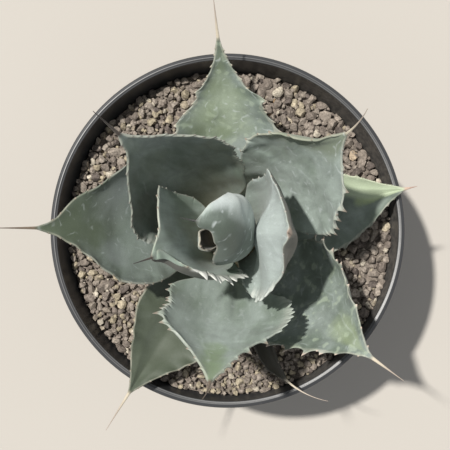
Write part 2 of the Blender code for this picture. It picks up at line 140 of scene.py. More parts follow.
# Blades
BLADE_SEED = 5
BLADE_STEPS = 84
HALF_ROWS = [0.0, 0.08, 0.16, 0.24, 0.32, 0.4, 0.48, 0.56, 0.64, 0.71, 0.78, 0.84, 0.89, 0.93, 0.965, 1.0]
CUP_FADE = 0.45
TURN_EASE = 1.5
WIDEN_EASE = 1.6
WAVE = 1.2
WAVES = 2.5
WAVE_EASE = 2.5
WAVE_FADE = 0.7
WAVE_SHIFT = 0.35
RIPPLE = 0.45
RIPPLE_SIZE = 9.0
DIMPLE = 0.28
DIMPLE_SIZE = 17.0
CURL_EASE = 0.12
EDGE = 0.9
EDGE_THIN = 0.62
EDGE_THIN_TOOTH = 1.6
EDGE_BULGE = 0.42
FLESH_FADE = 0.62
FLESH_EASE = 2.5
MARGIN_START = 0.86
MARGIN_EASE = 1.4
LIFT_EASE = 2.5
RIM_TOOTH = 1.5
FOLD_END = 0.04

# Teeth
TOOTH_FIRST = 0.3
TOOTH_LAST = 0.955
TOOTH_SIZES = (0.45, 0.7, 0.95, 1.2, 1.45)
TOOTH_END_SIZE = 0.45
TOOTH_FOOT = 1.1
TOOTH_WIDEST = 3.8
TOOTH_LEAN = (-0.5, 0.15)
TOOTH_JITTER = 0.3
TOOTH_SHARP = 1.6
TOOTH_STATIONS = (-1.0, -0.62, -0.3, 0.0, 0.3, 0.62, 1.0)
STATION_CLOSE = 0.16
STATION_FIRST = 0.02
STATION_LAST = 0.985
TEAT_SHARE = 0.34
TEAT_REACH = 2.3
HOOK_FOOT = 0.8
HOOK_WIDEST = 3.6
HOOK_ROOM = 2.2
FRILL_SIZES = (0.55, 1.1)
FRILL_LEAN = (-0.5, 0.6)
FRILL_JITTER = 0.2
FRILL_SHARP = 0.6
FRILL_FOOT = 0.55
FRILL_EASE = 0.6
HORN_EASE = 1.2
PALE_GAIN = 1.6

# Spines
SPINE_STEPS = 18
SPINE_HALF = 0.95
SPINE_POINT = 0.13
SPINE_EASE = 1.4
SPINE_DEPTH = 1.7
SPINE_FLAT = 0.85
SPINE_TIP = 0.4
SPINE_LIFT = 0.15
ROUND_HALF = 1.1
ROUNDING_START = 0.95

# Camera, from the photograph's own perspective, and light
CAMERA_AT = (-1.38, 2.89, 584.0)
LENS = 72.016
SENSOR = 36.0
SUN_FROM = (-0.358, 0.256, 1.0)
SUN_STRENGTH = 5.0
SUN_WIDTH = 2.0
SUN_COLOUR = (1.0, 0.97, 0.92)
SKY_STRENGTH = 0.44
SKY_COLOUR = (0.93, 0.96, 1.0, 1.0)
STAGE_HALF = 4000.0


class Layer(NamedTuple):
    """One layer of loose grains"""

    tries: int
    inset: float  # how far it ends from the gravel's own reach
    close: float  # least distance between two grains, as a share of both radii
    size: float  # as a share of the usual size
    clear: float  # share of its radius that a grain stays away from the edge
    lift: float  # above the gravel's level
    divisions: int
    cuts: int


LAYERS = (
    Layer(14000, 0.0, 0.74, 1.0, 0.3, 1.0, 2, 9),
    Layer(4666, 0.5, 0.8, 1.0, 0.75, -1.5, 1, 4),
    Layer(4000, 0.0, 0.9, 0.55, 0.2, 0.5, 1, 4),
)


class Leaf(NamedTuple):
    """The form of one blade. A pair of sides is the counter-clockwise (1) and the clockwise (-1) one."""

    azimuth: float  # where it leaves the stem
    radius: float
    height: float
    tip: tuple
    heading: float  # azimuth of its midrib at the tip
    rise: tuple  # how steep the midrib is at the base and at the tip
    half: tuple  # half widths of its sides
    cup: tuple  # how far its section turns from the middle to either margin
    wide_at: float = 0.5
    base_share: float = 0.5  # width at the base, as a share of the greatest
    taper: float = 1.35
    reach: tuple = (0.35, 0.3)  # how far the midrib keeps its first and its last direction
    spine: float = 20.0
    spine_turn: float = 0.0
    thick: float = 6.0
    trims: tuple = ()  # runs (side, u, reach, amount) where a margin bulges or falls in
    hug: tuple = (0.0, 0.0, 0.6)  # more cupping of either side at the base, and where it has gone


LEAVES = {
    "leaf_01": Leaf(219, 4.0, 138, (-10.8, -6, 213), 219, (88, 86), (6.0, 8.5), (85, 80), wide_at=0.55,
        base_share=0.6, taper=0.7, spine=3, thick=1.6),
    "leaf_02": Leaf(-12, 5.0, 132, (-13, 4.5, 227), -12, (84, 172), (19, 19.5), (96, 90), base_share=0.7,
        taper=0.75, reach=(0.5, 0.28), spine=6, thick=2.2, hug=(50, 20, 0.6),
        trims=((-1, 0.915, 0.09, -3.6), (-1, 0.8, 0.2, -5.0))),
    "leaf_03": Leaf(217, 10.5, 128, (-30, -10, 227), 197, (77, 60), (24.5, 30), (72, 8), wide_at=0.58,
        base_share=0.37, taper=1.1, spine=13, thick=3.4, hug=(0, 130, 0.7),
        trims=((-1, 0.7, 0.1, 2.4), (-1, 0.87, 0.1, -2.8), (-1, 0.27, 0.22, 3.5), (1, 0.9, 0.08, -3.0))),
    "leaf_04": Leaf(355, 11.0, 126, (23.2, 0, 226), 355, (80, 94), (27, 30), (40, 40), wide_at=0.55,
        base_share=0.48, taper=0.9, reach=(0.4, 0.3), spine=4, thick=3.8, hug=(65, 45, 0.65),
        trims=((1, 0.9, 0.1, -2.0), (1, 0.65, 0.08, 3.0), (-1, 0.9, 0.1, -2.3), (-1, 0.68, 0.08, 1.5),
        (1, 0.33, 0.18, 4.0))),
    "leaf_05": Leaf(132, 13.0, 124, (-43, 38.5, 228), 138, (62, 62), (31, 34), (50, 60), base_share=0.36,
        taper=1.7, spine=21, thick=4.2, trims=((-1, 0.7, 0.12, 2.0), (-1, 0.47, 0.12, -4.0),
        (-1, 0.2, 0.12, 4.0), (1, 0.88, 0.08, -2.0))),
    "leaf_06": Leaf(270, 14.0, 122, (-7.2, -57.4, 235), 262, (52, 75), (29, 27), (30, 50), wide_at=0.43,
        base_share=0.26, taper=1.5, spine=17, spine_turn=-56, thick=4.2,
        trims=((-1, 0.64, 0.16, 6.5), (-1, 0.33, 0.16, 3.5), (1, 0.22, 0.14, -5.5), (1, 0.75, 0.18, -3.5))),
    "leaf_07": Leaf(47, 15.0, 121, (48, 40, 218), 37, (50, 62), (27, 32), (40, 40), base_share=0.34,
        taper=1.7, spine_turn=35, thick=4.4, trims=((-1, 0.74, 0.12, 3.5), (1, 0.79, 0.14, -3.0))),
    "leaf_08": Leaf(185, 16.0, 122, (-84.6, 1.6, 190), 180, (38, 32), (25, 41), (45, 45), wide_at=0.42,
        base_share=0.3, taper=1.9, spine=19, thick=4.6, trims=((-1, 0.8, 0.1, 2.5),)),
    "leaf_09": Leaf(322, 16.0, 120.5, (64.5, -56.6, 182), 325, (34, 40), (29, 30), (40, 40), wide_at=0.4,
        base_share=0.27, taper=1.8, spine=18, thick=4.6, trims=((1, 0.5, 0.1, -1.5), (1, 0.78, 0.18, 2.3))),
    "leaf_10": Leaf(99, 17.0, 119, (-4.7, 91, 160), 97, (24, 32), (26, 30), (35, 35), wide_at=0.32,
        base_share=0.36, taper=2.1, spine=21, thick=4.6, trims=((1, 0.61, 0.08, -3.2),
        (-1, 0.645, 0.07, 4.5))),
    "leaf_11": Leaf(237, 17.0, 118, (-48.4, -79.4, 143), 238, (16, 28), (24, 21.5), (35, 35), wide_at=0.4,
        base_share=0.38, taper=1.5, spine=21, thick=4.6),
    "leaf_12": Leaf(14, 17.0, 118, (89.4, 21.1, 130), 12, (8, 8), (19.5, 23), (55, 55), wide_at=0.4,
        base_share=0.38, taper=1.5, spine=6, thick=4.6),
    "leaf_13": Leaf(156, 17.0, 117.5, (-50, 17, 131), 163, (10, 18), (14, 14), (40, 40), wide_at=0.4,
        base_share=0.5, taper=1.5, spine=8, thick=3.2),
    "leaf_14": Leaf(287, 17.0, 117, (29, -74.4, 135), 318, (10, 15), (7, 7), (80, 80), base_share=0.6,
        spine=23, spine_turn=34, thick=3.0),
}

# How a blade is dressed. LOOKS changes these values for single blades.
LOOK_DEFAULTS = dict(
    # Teeth of one side: their number, their height, and how far they rise, as a share of it
    count=15,
    height=1.7,
    droop=-0.5,
    # Large teeth (side, u, height, lean) and runs of pale ones (side, from, to, number, height, droop)
    hooks=(),
    frills=(),
    # Strength of the waves, and scale of most patterns along the blade, drawn out where it is under 1
    calm=1.0,
    squash=1.0,
    # A groove along the middle (depth, reach in t) and ridges between places (u, t, u, t, height, reach)
    crease=(0.0, 0.5),
    folds=(),
    # Swellings of the upper and of the lower face (u, reach in u, t, reach in t, height)
    fronts=(),
    backs=(),
    # Rolled margins (side, from, to, t that they start at, rise, way inward, power)
    curls=(),
    spine_half=0.8,
    # Brightness of the greens, share of pale bloom, and strength of the finer patterns
    gain=1.0,
    bloom=0.5,
    streak=0.04,
    mottle=0.08,
    blotch=0.0,
    marks=0.0,
    # Tinted patches (u, t, reach in u, reach in t, share, colour); on some blades they are painted light, on
    # others painted shade
    tints=(),
    # Tinted areas (a, b, shift, softness, share, colour), where a * u + b * t + shift is large; here painted
    # shade on one blade and painted light on another
    bands=(),
    # Toothed lines pressed in by the bud (t at the base, slope, from, to, notches, depth of a notch)
    imprints=(),
    # Share and colour of painted shade on the lower face, and share of dark brown painted shade in the hollow
    # of the upper one
    outer=None,
    inner=0.0,
    # Pale margin, and the colours of frills, teeth and spine
    rim_share=0.3,
    frill=(0.50, 0.54, 0.50),
    tooth=(0.26, 0.21, 0.165),
    spine_low=(0.30, 0.24, 0.18),
    spine_high=(0.16, 0.11, 0.09),
)

DEEP_GREEN = (0.185, 0.232, 0.187)
BLUE_GREEN = (0.312, 0.368, 0.335)
PALE_BLOOM = (0.470, 0.528, 0.520)
YELLOW_GREEN = (0.330, 0.400, 0.190)
# White bloom; on the hood's top it is also a painted highlight
WHITE_BLOOM_AND_HIGHLIGHT = (0.60, 0.655, 0.66)
SHADE_GREEN = (0.080, 0.102, 0.066)
DULL_BLOOM = (0.235, 0.268, 0.258)
# Painted shade in a fold
FOLD_PAINTED_SHADE = (0.175, 0.205, 0.145)
TIP_GREEN = (0.200, 0.270, 0.150)
BLOTCH_GREEN = (0.400, 0.470, 0.350)
# Painted light on a sunlit half
PAINTED_LIGHT_GREEN = (0.430, 0.500, 0.345)
# Dark olive, painted shade
OLIVE_PAINTED_SHADE = (0.080, 0.097, 0.058)
# Dark brown of a dried blade, together with painted shade
BARK_BROWN_AND_SHADE = (0.052, 0.046, 0.034)
# Painted shade in a hollow
HOLLOW_PAINTED_SHADE = (0.045, 0.036, 0.026)
# Painted shade, painted light and deeper painted shade for the hood's outer face
HOOD_SHADE = (0.105, 0.130, 0.110)
HOOD_PAINTED_LIGHT = (0.480, 0.540, 0.515)
HOOD_PAINTED_DEEP_SHADE = (0.062, 0.080, 0.060)
# Painted shade on a blade's lower face, and on the lower face of a rolled margin
OUTER_PAINTED_SHADE = (0.095, 0.098, 0.084)
CURL_PAINTED_SHADE = (0.085, 0.082, 0.072)
RIM_COLOUR = (0.50, 0.47, 0.38)

BLACK_SPINE = dict(spine_low=(0.040, 0.041, 0.038), spine_high=(0.030, 0.030, 0.029))
# Spines painted darker as painted shade, for blades that lie in shade
SPINE_IN_PAINTED_SHADE = dict(spine_low=(0.085, 0.066, 0.055), spine_high=(0.045, 0.036, 0.034))
BROWN_SPINE = dict(spine_low=(0.17, 0.13, 0.095), spine_high=(0.12, 0.085, 0.065))
PINK_SPINE = dict(spine_low=(0.50, 0.37, 0.29), spine_high=(0.32, 0.21, 0.17))
PALE_SPINE = dict(spine_low=(0.52, 0.46, 0.36), spine_high=(0.36, 0.30, 0.25))

LOOKS = {
    # The bud's inner face gets painted shade in its hollow
    "leaf_01": dict(count=5, height=0.5, spine_half=0.4, bloom=0.9, inner=0.9, rim_share=0.9),
    # The hood's tints are painted light and shade: painted shade on its lower part and mouth, white bloom
    # with a painted highlight on its sunlit top, and painted light on its right half
    "leaf_02": dict(count=4, height=0.5, squash=0.6, folds=[(0.74, 0.62, 0.62, 0.2, 0.5, 1.4),
        (0.95, 0.45, 0.7, 0.5, 0.35, 0.9)], backs=[(0.62, 0.4, 0.7, 0.5, 3.2)],
        curls=[(1, 0.66, 1.05, 0.3, -3.2, 0.0, 1.0)], spine_half=0.45, bloom=0.7, streak=0.07, marks=0.5,
        tints=[(0.80, -0.3, 0.5, 1.5, 1.0, HOOD_SHADE), (0.74, 1.0, 0.26, 0.62, 0.6, WHITE_BLOOM_AND_HIGHLIGHT),
        (0.82, 0.9, 0.24, 0.45, 0.3, WHITE_BLOOM_AND_HIGHLIGHT), (0.62, 0.62, 0.26, 0.55, 0.85, HOOD_PAINTED_LIGHT),
        (0.80, -0.25, 0.24, 0.55, 0.6, HOOD_PAINTED_DEEP_SHADE)], inner=0.92, **BLACK_SPINE),
    # The lower face of the rolled margin is painted dark as painted shade, and the spine is painted darker as
    # shade
    "leaf_03": dict(count=11, height=1.0, frills=[(1, 0.36, 0.8, 12, 6.4, -0.6)], calm=0.5, squash=0.4,
        curls=[(1, 0.45, 1.05, 0.5, 3.2, 5.4, 1.25)], spine_half=0.5, gain=1.3, bloom=0.4, streak=0.1,
        outer=(0.95, CURL_PAINTED_SHADE), rim_share=0.5, frill=(0.70, 0.70, 0.66), **SPINE_IN_PAINTED_SHADE),
    # The lower face is painted grey-brown as painted shade
    "leaf_04": dict(count=9, height=0.8, frills=[(-1, 0.44, 0.76, 9, 3.8, -0.2)], calm=0.6, squash=0.35,
        fronts=[(0.66, 0.36, 0.0, 0.9, 9.0), (0.48, 0.42, -0.2, 1.1, 4.4)],
        backs=[(0.8, 0.3, -0.15, 0.5, 2.8)], curls=[(-1, 0.40, 0.94, 0.1, -2.8, 2.4, 1.2)], spine_half=0.4,
        gain=0.83, bloom=1.0, streak=0.1, mottle=0.1, marks=0.4,
        tints=[(0.7, 0.0, 0.5, 1.4, 0.35, WHITE_BLOOM_AND_HIGHLIGHT)], outer=(1.0, OUTER_PAINTED_SHADE), rim_share=0.15,
        frill=(0.55, 0.58, 0.54), tooth=(0.40, 0.37, 0.33), **PINK_SPINE),
    # The spine is painted darker as painted shade
    "leaf_05": dict(count=22, height=1.1, frills=[(1, 0.3, 0.5, 7, 2.4, 0.0)], squash=0.5, gain=0.76,
        bloom=0.3, mottle=0.15, imprints=[(0.45, -0.1, 0.3, 0.85, 9, 0.05)], frill=(0.42, 0.45, 0.41),
        tooth=(0.21, 0.20, 0.175), **SPINE_IN_PAINTED_SHADE),
    # The last dark green tint is painted shade beside the fold
    "leaf_06": dict(count=10, height=1.8, droop=-1.1, hooks=[(-1, 0.46, 1.8, 0.0), (-1, 0.53, 2.0, 0.0),
        (-1, 0.63, 3.2, 0.0), (-1, 0.71, 1.8, 0.0), (-1, 0.8, 1.6, -0.3)],
        frills=[(1, 0.32, 0.6, 9, 4.4, 0.0)], calm=0.25, squash=0.4,
        folds=[(0.14, 0.04, 0.42, 0.04, 1.2, 1.5), (0.14, 0.15, 0.42, 0.13, -2.2, 1.8)], spine_half=0.7,
        gain=1.04, bloom=0.6, marks=0.2, tints=[(0.75, 0.0, 0.10, 0.42, 0.7, TIP_GREEN),
        (0.56, -0.42, 0.08, 0.22, 0.4, DEEP_GREEN), (0.95, 0.0, 0.22, 1.2, 0.8, TIP_GREEN),
        (0.30, 0.27, 0.10, 0.14, 0.5, DEEP_GREEN)], imprints=[(-0.5, 0.3, 0.45, 0.92, 7, 0.08),
        (0.4, -0.2, 0.4, 0.85, 7, 0.07)], frill=(0.40, 0.44, 0.39), **BROWN_SPINE),
    # The band below the upper margin is painted shade in the fold there
    "leaf_07": dict(count=8, height=1.4, droop=-1.0, hooks=[(-1, 0.52, 2.4, 0.0), (-1, 0.58, 2.6, 0.0),
        (-1, 0.64, 2.9, 0.0), (-1, 0.71, 3.0, 0.0), (-1, 0.78, 2.6, 0.0), (-1, 0.84, 1.6, 0.0)], squash=0.6,
        folds=[(0.68, 0.42, 0.95, 0.1, 0.7, 1.5)], curls=[(1, 0.35, 1.02, 0.5, 1.2, 0.0, 2.0)],
        spine_half=0.6, bloom=0.65, mottle=0.13, marks=0.4, bands=[(1.5, 0.3, -1.15, 0.09, 0.85, FOLD_PAINTED_SHADE)],
        imprints=[(0.5, -0.15, 0.35, 0.9, 8, 0.08), (-0.3, -0.1, 0.35, 0.85, 8, 0.08)], **PALE_SPINE),
    "leaf_08": dict(count=12, height=0.9, squash=0.8, spine_half=0.65, gain=0.54, bloom=0.35, mottle=0.2,
        marks=0.2, tints=[(0.57, -0.6, 0.17, 0.5, 0.8, DULL_BLOOM), (0.55, 0.42, 0.13, 0.35, 0.6, DULL_BLOOM),
        (0.6, -0.02, 0.1, 0.25, 0.35, SHADE_GREEN), (0.34, 0.0, 0.26, 1.2, 0.5, BLUE_GREEN),
        (0.92, 0.0, 0.38, 1.6, 0.95, SHADE_GREEN), (0.7, 0.1, 0.12, 0.4, 0.55, SHADE_GREEN),
        (0.55, -0.2, 0.1, 0.3, 0.25, SHADE_GREEN)], **BROWN_SPINE),
    "leaf_09": dict(count=8, height=1.6, hooks=[(-1, 0.62, 4.6, -0.2), (-1, 0.7, 4.4, -0.2),
        (-1, 0.76, 2.6, -0.2), (-1, 0.52, 2.6, -0.2), (1, 0.3, 3.0, -0.3), (1, 0.37, 3.2, -0.4),
        (1, 0.46, 3.2, -0.4), (1, 0.54, 2.6, -0.4)], curls=[(1, 0.28, 0.75, 0.78, 3.0, 0.0, 2.0)], gain=0.6,
        bloom=0.4, mottle=0.12, blotch=0.34, marks=0.15, tints=[(0.8, 0.1, 0.16, 0.6, 0.3, YELLOW_GREEN)],
        imprints=[(0.5, -0.3, 0.35, 0.9, 8, 0.08)], tooth=(0.52, 0.42, 0.35), **PALE_SPINE),
    "leaf_10": dict(count=14, height=1.5, droop=-0.35, hooks=[(-1, 0.4, 3.0, -0.2), (-1, 0.45, 3.4, -0.3),
        (-1, 0.51, 2.8, -0.3), (-1, 0.59, 2.6, -0.3), (-1, 0.64, 3.0, -0.4), (1, 0.5, 2.4, -0.2),
        (1, 0.62, 2.8, -0.3)], gain=0.66, bloom=0.4, blotch=0.25, marks=0.3,
        tints=[(0.6, 0.1, 0.35, 0.9, 0.25, YELLOW_GREEN), (1.0, 0.0, 0.3, 1.5, 0.7, SHADE_GREEN),
        (0.33, -0.35, 0.1, 0.4, 0.6, DULL_BLOOM), (0.42, 0.7, 0.16, 0.45, 0.35, SHADE_GREEN)],
        imprints=[(0.15, -0.1, 0.35, 0.7, 11, 0.12)], tooth=(0.45, 0.40, 0.32), **PALE_SPINE),
    # Painted shade: the low gain and the dark olive tint darken the whole blade, which faces away from the
    # light
    "leaf_11": dict(count=11, height=0.9, crease=(2.2, 0.5), gain=0.27, bloom=0.0, mottle=0.14,
        tints=[(0.6, 0.0, 0.9, 2.0, 0.5, OLIVE_PAINTED_SHADE)], **PALE_SPINE),
    # The band is painted light on the sunlit upper half
    "leaf_12": dict(count=11, height=1.2, hooks=[(-1, 0.4, 3.0, -0.5), (-1, 0.5, 3.2, -0.5),
        (-1, 0.6, 2.8, -0.5), (-1, 0.7, 2.2, -0.4)], calm=0.3, crease=(2.0, 0.4), gain=0.66, bloom=0.1,
        tints=[(0.75, -0.02, 0.14, 0.28, 0.7, YELLOW_GREEN)],
        bands=[(1.9, 1.0, -1.35, 0.12, 0.85, PAINTED_LIGHT_GREEN)], tooth=(0.10, 0.08, 0.06), **PINK_SPINE),
    "leaf_13": dict(count=9, height=0.8, gain=0.65, bloom=0.3,
        tints=[(0.9, 0.0, 0.4, 1.0, 0.9, YELLOW_GREEN)]),
    # Dark brown of a dried blade and painted shade: the low gain and the brown tint darken the whole blade,
    # which lies in shadow
    "leaf_14": dict(count=7, height=0.8, spine_half=0.6, gain=0.3, bloom=0.0,
        tints=[(0.5, 0.0, 2.0, 3.0, 0.95, BARK_BROWN_AND_SHADE)], rim_share=0.0, **PALE_SPINE),
}


def mesh_object(name, points, faces, smooth=True):
    """A mesh object from points in millimetres"""
    mesh = bpy.data.meshes.new(name)
    mesh.from_pydata((np.asarray(points) * MM).tolist(), [], [tuple(face) for face in faces])
    mesh.update()
    if smooth:
        mesh.shade_smooth()
    item = bpy.data.objects.new(name, mesh)
    bpy.context.scene.collection.objects.link(item)
    return item


def point_value(item, name, values):
    """Writes one number, or three, for each vertex"""
    values = np.asarray(values, np.float32)
    kind = "FLOAT" if values.ndim == 1 else "FLOAT_VECTOR"
    made = item.data.attributes.new(name, kind, "POINT")
    made.data.foreach_set("value" if kind == "FLOAT" else "vector", values.ravel())


def place(item, node):
    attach(item, "root")
    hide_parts(node)


def ring_faces(a, b, count):
    """Faces between two rings of points, which start at a and at b"""
    return [(a + j, b + j, b + (j + 1) % count, a + (j + 1) % count) for j in range(count)]


def smoothstep(value, low, high):
    share = np.clip((value - low) / (high - low), 0.0, 1.0)
    return share * share * (3.0 - 2.0 * share)


def hump(value, at, reach):
    """1 at a place, and falling smoothly to 0 at its reach on either side"""
    return np.cos(0.5 * np.pi * np.clip((value - at) / reach, -1, 1)) ** 2


def bulge(u, t, at_u, reach_u, at_t, reach_t, height):
    return height * hump(u, at_u, reach_u) * hump(t, at_t, reach_t)


def swells(points, size, seed):
    """Smooth seeded noise with waves of about one size, mostly between -1.5 and 1.5"""
    rng = np.random.default_rng(seed)
    total = np.zeros(len(points))
    for _ in range(SWELL_WAVES):
        way = rng.normal(size=points.shape[1])
        way *= math.tau / (size * rng.uniform(0.7, 1.5) * np.linalg.norm(way))
        total += np.sin(points @ way + rng.uniform(0, math.tau))
    return total / math.sqrt(SWELL_WAVES)


def direction(azimuth, rise):
    a, e = np.radians(azimuth), np.radians(rise)
    return np.stack([np.cos(a) * np.cos(e), np.sin(a) * np.cos(e), np.sin(e) + 0 * a], axis=-1)


def unit(v):
    return v / np.linalg.norm(v, axis=-1, keepdims=True)


def blade_length(lf):
    return float(np.linalg.norm(np.array(lf.tip) - np.array([STEM_X, STEM_Y, lf.height])))


def midrib(lf, u):
    """Points, tangents, sides and upper normals of the blade's middle line"""
    a = math.radians(lf.azimuth)
    start = np.array([STEM_X + lf.radius * math.cos(a), STEM_Y + lf.radius * math.sin(a), lf.height])
    end = np.array(lf.tip, float)
    span = np.linalg.norm(end - start)
    first = start + direction(lf.azimuth, lf.rise[0]) * span * lf.reach[0]
    second = end - direction(lf.heading, lf.rise[1]) * span * lf.reach[1]
    u = u[:, None]
    v = 1.0 - u
    middle = v**3 * start + 3 * v**2 * u * first + 3 * v * u**2 * second + u**3 * end
    tangent = unit(3 * v**2 * (first - start) + 6 * v * u * (second - first) + 3 * u**2 * (end - second))
    turn = (lf.heading - lf.azimuth + 180) % 360 - 180
    azimuth = np.radians(lf.azimuth + turn * u[:, 0] ** TURN_EASE)
    side = np.stack([-np.sin(azimuth), np.cos(azimuth), 0 * azimuth], axis=1)
    side = unit(side - (side * tangent).sum(1, keepdims=True) * tangent)
    return middle, tangent, side, np.cross(tangent, side)


def half_width(lf, u, t):
    """Half width of the blade on the side that t lies on"""
    rising = np.sin(0.5 * np.pi * np.clip(u / lf.wide_at, 0, 1)) ** WIDEN_EASE
    falling = np.cos(0.5 * np.pi * np.clip((u - lf.wide_at) / (1 - lf.wide_at), 0, 1)) ** lf.taper
    share = np.where(u < lf.wide_at, lf.base_share + (1 - lf.base_share) * rising, falling)
    trimmed = 0.0 * u
    for side, at, reach, amount in lf.trims:
        trimmed = trimmed + np.where(np.sign(t) == side, amount * hump(u, at, reach), 0.0)
    return trimmed + share * np.where(t > 0, *lf.half) + SPINE_HALF * u**4


def blade_cup(lf, u, t):
    """Angle that the blade's section turns through from its middle to its margin"""
    *more, until = lf.hug
    degrees = np.where(t > 0, *lf.cup) * (1.0 - CUP_FADE * u**2)
    return np.radians(degrees + np.where(t > 0, *more) * np.clip(1.0 - u / until, 0, 1) ** 2)


class Tooth(NamedTuple):
    """One tooth: place and half width in u, height, and lean along and lift as shares of that"""

    side: float
    at: float
    half: float
    height: float
    lean: float
    lift: float
    pale: float


def blade_teeth(lf, look, rng):
    """Seeded teeth of one blade: small ones along both margins, hooks and the pale crowded runs"""
    length = blade_length(lf)
    room = HOOK_ROOM / length
    droop, count = look["droop"], look["count"]
    teeth = []
    for side in (-1.0, 1.0):
        runs = [run for run in look["frills"] if run[0] == side]
        for k in range(count):
            share = (k + 0.5 + rng.uniform(-TOOTH_JITTER, TOOTH_JITTER)) / count
            at = TOOTH_FIRST + (TOOTH_LAST - TOOTH_FIRST) * share
            fade = TOOTH_END_SIZE + (1 - TOOTH_END_SIZE) * math.sin(math.pi * share)
            height = look["height"] * fade * rng.choice(TOOTH_SIZES)
            half = 0.5 * min(height + TOOTH_FOOT, TOOTH_WIDEST) / length
            lean, lift = rng.uniform(*TOOTH_LEAN), droop + rng.uniform(-TOOTH_JITTER, TOOTH_JITTER)
            if not any(first < at < last for _, first, last, *_ in runs):
                teeth.append(Tooth(side, at, half, height, lean, lift, 0.0))
        for _, at, height, lean in [hook for hook in look["hooks"] if hook[0] == side]:
            teeth = [tooth for tooth in teeth if tooth.side != side or abs(tooth.at - at) > room]
            half = 0.5 * min(height + HOOK_FOOT, HOOK_WIDEST) / length
            teeth.append(Tooth(side, at, half, height, lean, droop, 0.0))
        for _, first, last, many, tall, hang in runs:
            half = FRILL_FOOT * (last - first) / many
            for k in range(many):
                at = first + (last - first) * (k + 0.5 + rng.uniform(-FRILL_JITTER, FRILL_JITTER)) / many
                fade = math.sin(math.pi * (k + 0.8) / (many + 0.6)) ** FRILL_EASE
                height = tall * rng.uniform(*FRILL_SIZES) * fade
                lean, lift = rng.uniform(*FRILL_LEAN), hang + rng.uniform(-TOOTH_JITTER, TOOTH_JITTER)
                teeth.append(Tooth(side, at, half, height, lean, lift, 1.0))
    return teeth


def blade_stations(teeth):
    """Stations along the blade, with a few across every tooth"""
    spacing = 1.0 / BLADE_STEPS
    tips = {tooth.at for tooth in teeth}
    kept = []
    for mark in sorted(tooth.at + tooth.half * s for tooth in teeth for s in TOOTH_STATIONS):
        if not STATION_FIRST < mark < STATION_LAST:
            continue
        if not kept or mark - kept[-1] >= STATION_CLOSE * spacing:
            kept.append(mark)
        elif mark in tips:
            kept[-1] = mark
    line = [0.0]
    for mark in kept + [1.0]:
        start, gap = line[-1], mark - line[-1]
        steps = max(1, int(math.ceil(gap / spacing)))
        line += [start + gap * (i + 1) / steps for i in range(steps)]
    return np.array(line)


def margin_shape(u, side, teeth):
    """How far the margin goes out, along and up at each station, and where it is horn or pale"""
    teat, point, along, lift, horn, pale = (np.zeros_like(u) for _ in range(6))
    for tooth in [tooth for tooth in teeth if tooth.side == side]:
        s = (u - tooth.at) / tooth.half
        teat = np.maximum(teat, TEAT_SHARE * tooth.height * hump(s, 0.0, TEAT_REACH))
        sharp = np.clip(1.0 - np.abs(s), 0, 1)
        blade = sharp ** (FRILL_SHARP if tooth.pale else TOOTH_SHARP)
        point = np.maximum(point, (1 - TEAT_SHARE) * tooth.height * blade)
        along += tooth.lean * tooth.height * blade
        lift += tooth.lift * tooth.height * blade
        horn = np.maximum(horn, (1 - tooth.pale) * sharp**HORN_EASE)
        pale = np.maximum(pale, tooth.pale * np.clip(PALE_GAIN * sharp, 0, 1))
    return teat + point, along, lift, horn, pale


def fold_share(lf, flat, u_a, t_a, u_b, t_b, reach):
    """A rounded ridge along a straight line on the blade, 1 in its middle and a third of that at its reach"""
    length = blade_length(lf)
    a, b = (np.array([u * length, t * float(half_width(lf, np.float64(u), np.float64(t)))])
            for u, t in ((u_a, t_a), (u_b, t_b)))
    share = np.clip(((flat - a) @ (b - a)) / ((b - a) @ (b - a)), 0, 1)
    distance = np.linalg.norm(flat - a - share[:, None] * (b - a), axis=1)
    return np.exp(-((distance / reach) ** 2)) * np.sin(np.pi * np.clip(share, FOLD_END, 1 - FOLD_END)) ** 0.5


def blade_relief(lf, look, u, t, width, seed):
    """How far both faces rise or fall together: waves, ripples, the groove and the folds"""
    wave = np.sin(math.tau * (WAVES * u + WAVE_SHIFT * np.sign(t)))
    wave = look["calm"] * WAVE * wave * np.abs(t) ** WAVE_EASE * np.sin(np.pi * u) ** WAVE_FADE
    flat = np.stack([u.ravel() * blade_length(lf), (t * width).ravel()], axis=1)
    drawn = flat * (look["squash"], 1.0)
    ripple = swells(drawn, RIPPLE_SIZE, seed + 1).reshape(u.shape) * np.abs(t) ** 4
    dimple = swells(drawn, DIMPLE_SIZE, seed + 2).reshape(u.shape) * DIMPLE
    ease = np.sin(np.pi * u) ** WAVE_FADE
    relief = wave + (RIPPLE * look["calm"] * ripple + dimple) * ease
    depth, reach = look["crease"]
    relief = relief - depth * ease * np.clip(1.0 - np.abs(t) / reach, 0, 1)
    for *line, height, reach in look["folds"]:
        relief = relief + height * fold_share(lf, flat, *line, reach).reshape(u.shape)
    return relief


def blade_spine(lf, look, middle, tangent, side, up, t, face):
    """Rings of the spine from the blade's last station on, and the spine's point"""
    s = (np.arange(SPINE_STEPS) + 1.0) / SPINE_STEPS
    rise = math.degrees(math.asin(tangent[2]))
    azimuth = math.degrees(math.atan2(tangent[1], tangent[0]))
    heading = direction(azimuth + 0.5 * lf.spine_turn * s, rise)
    thick = look["spine_half"]
    thin = SPINE_POINT + (thick - SPINE_POINT) * (1.0 - s) ** SPINE_EASE
    centre = middle + heading * (lf.spine * s)[:, None] - up * (thick - SPINE_LIFT * thin)[:, None]
    sideways = side * (thin[:, None] * np.sin(0.5 * np.pi * t))[..., None]
    lifted = np.cos(0.5 * np.pi * t) * np.where(face == 1.0, -1.0, 1.0)
    rings = centre[:, None, :] + sideways + up * (SPINE_FLAT * thin[:, None] * lifted)[..., None]
    return rings, rings[-1].mean(axis=0) + heading[-1] * SPINE_TIP


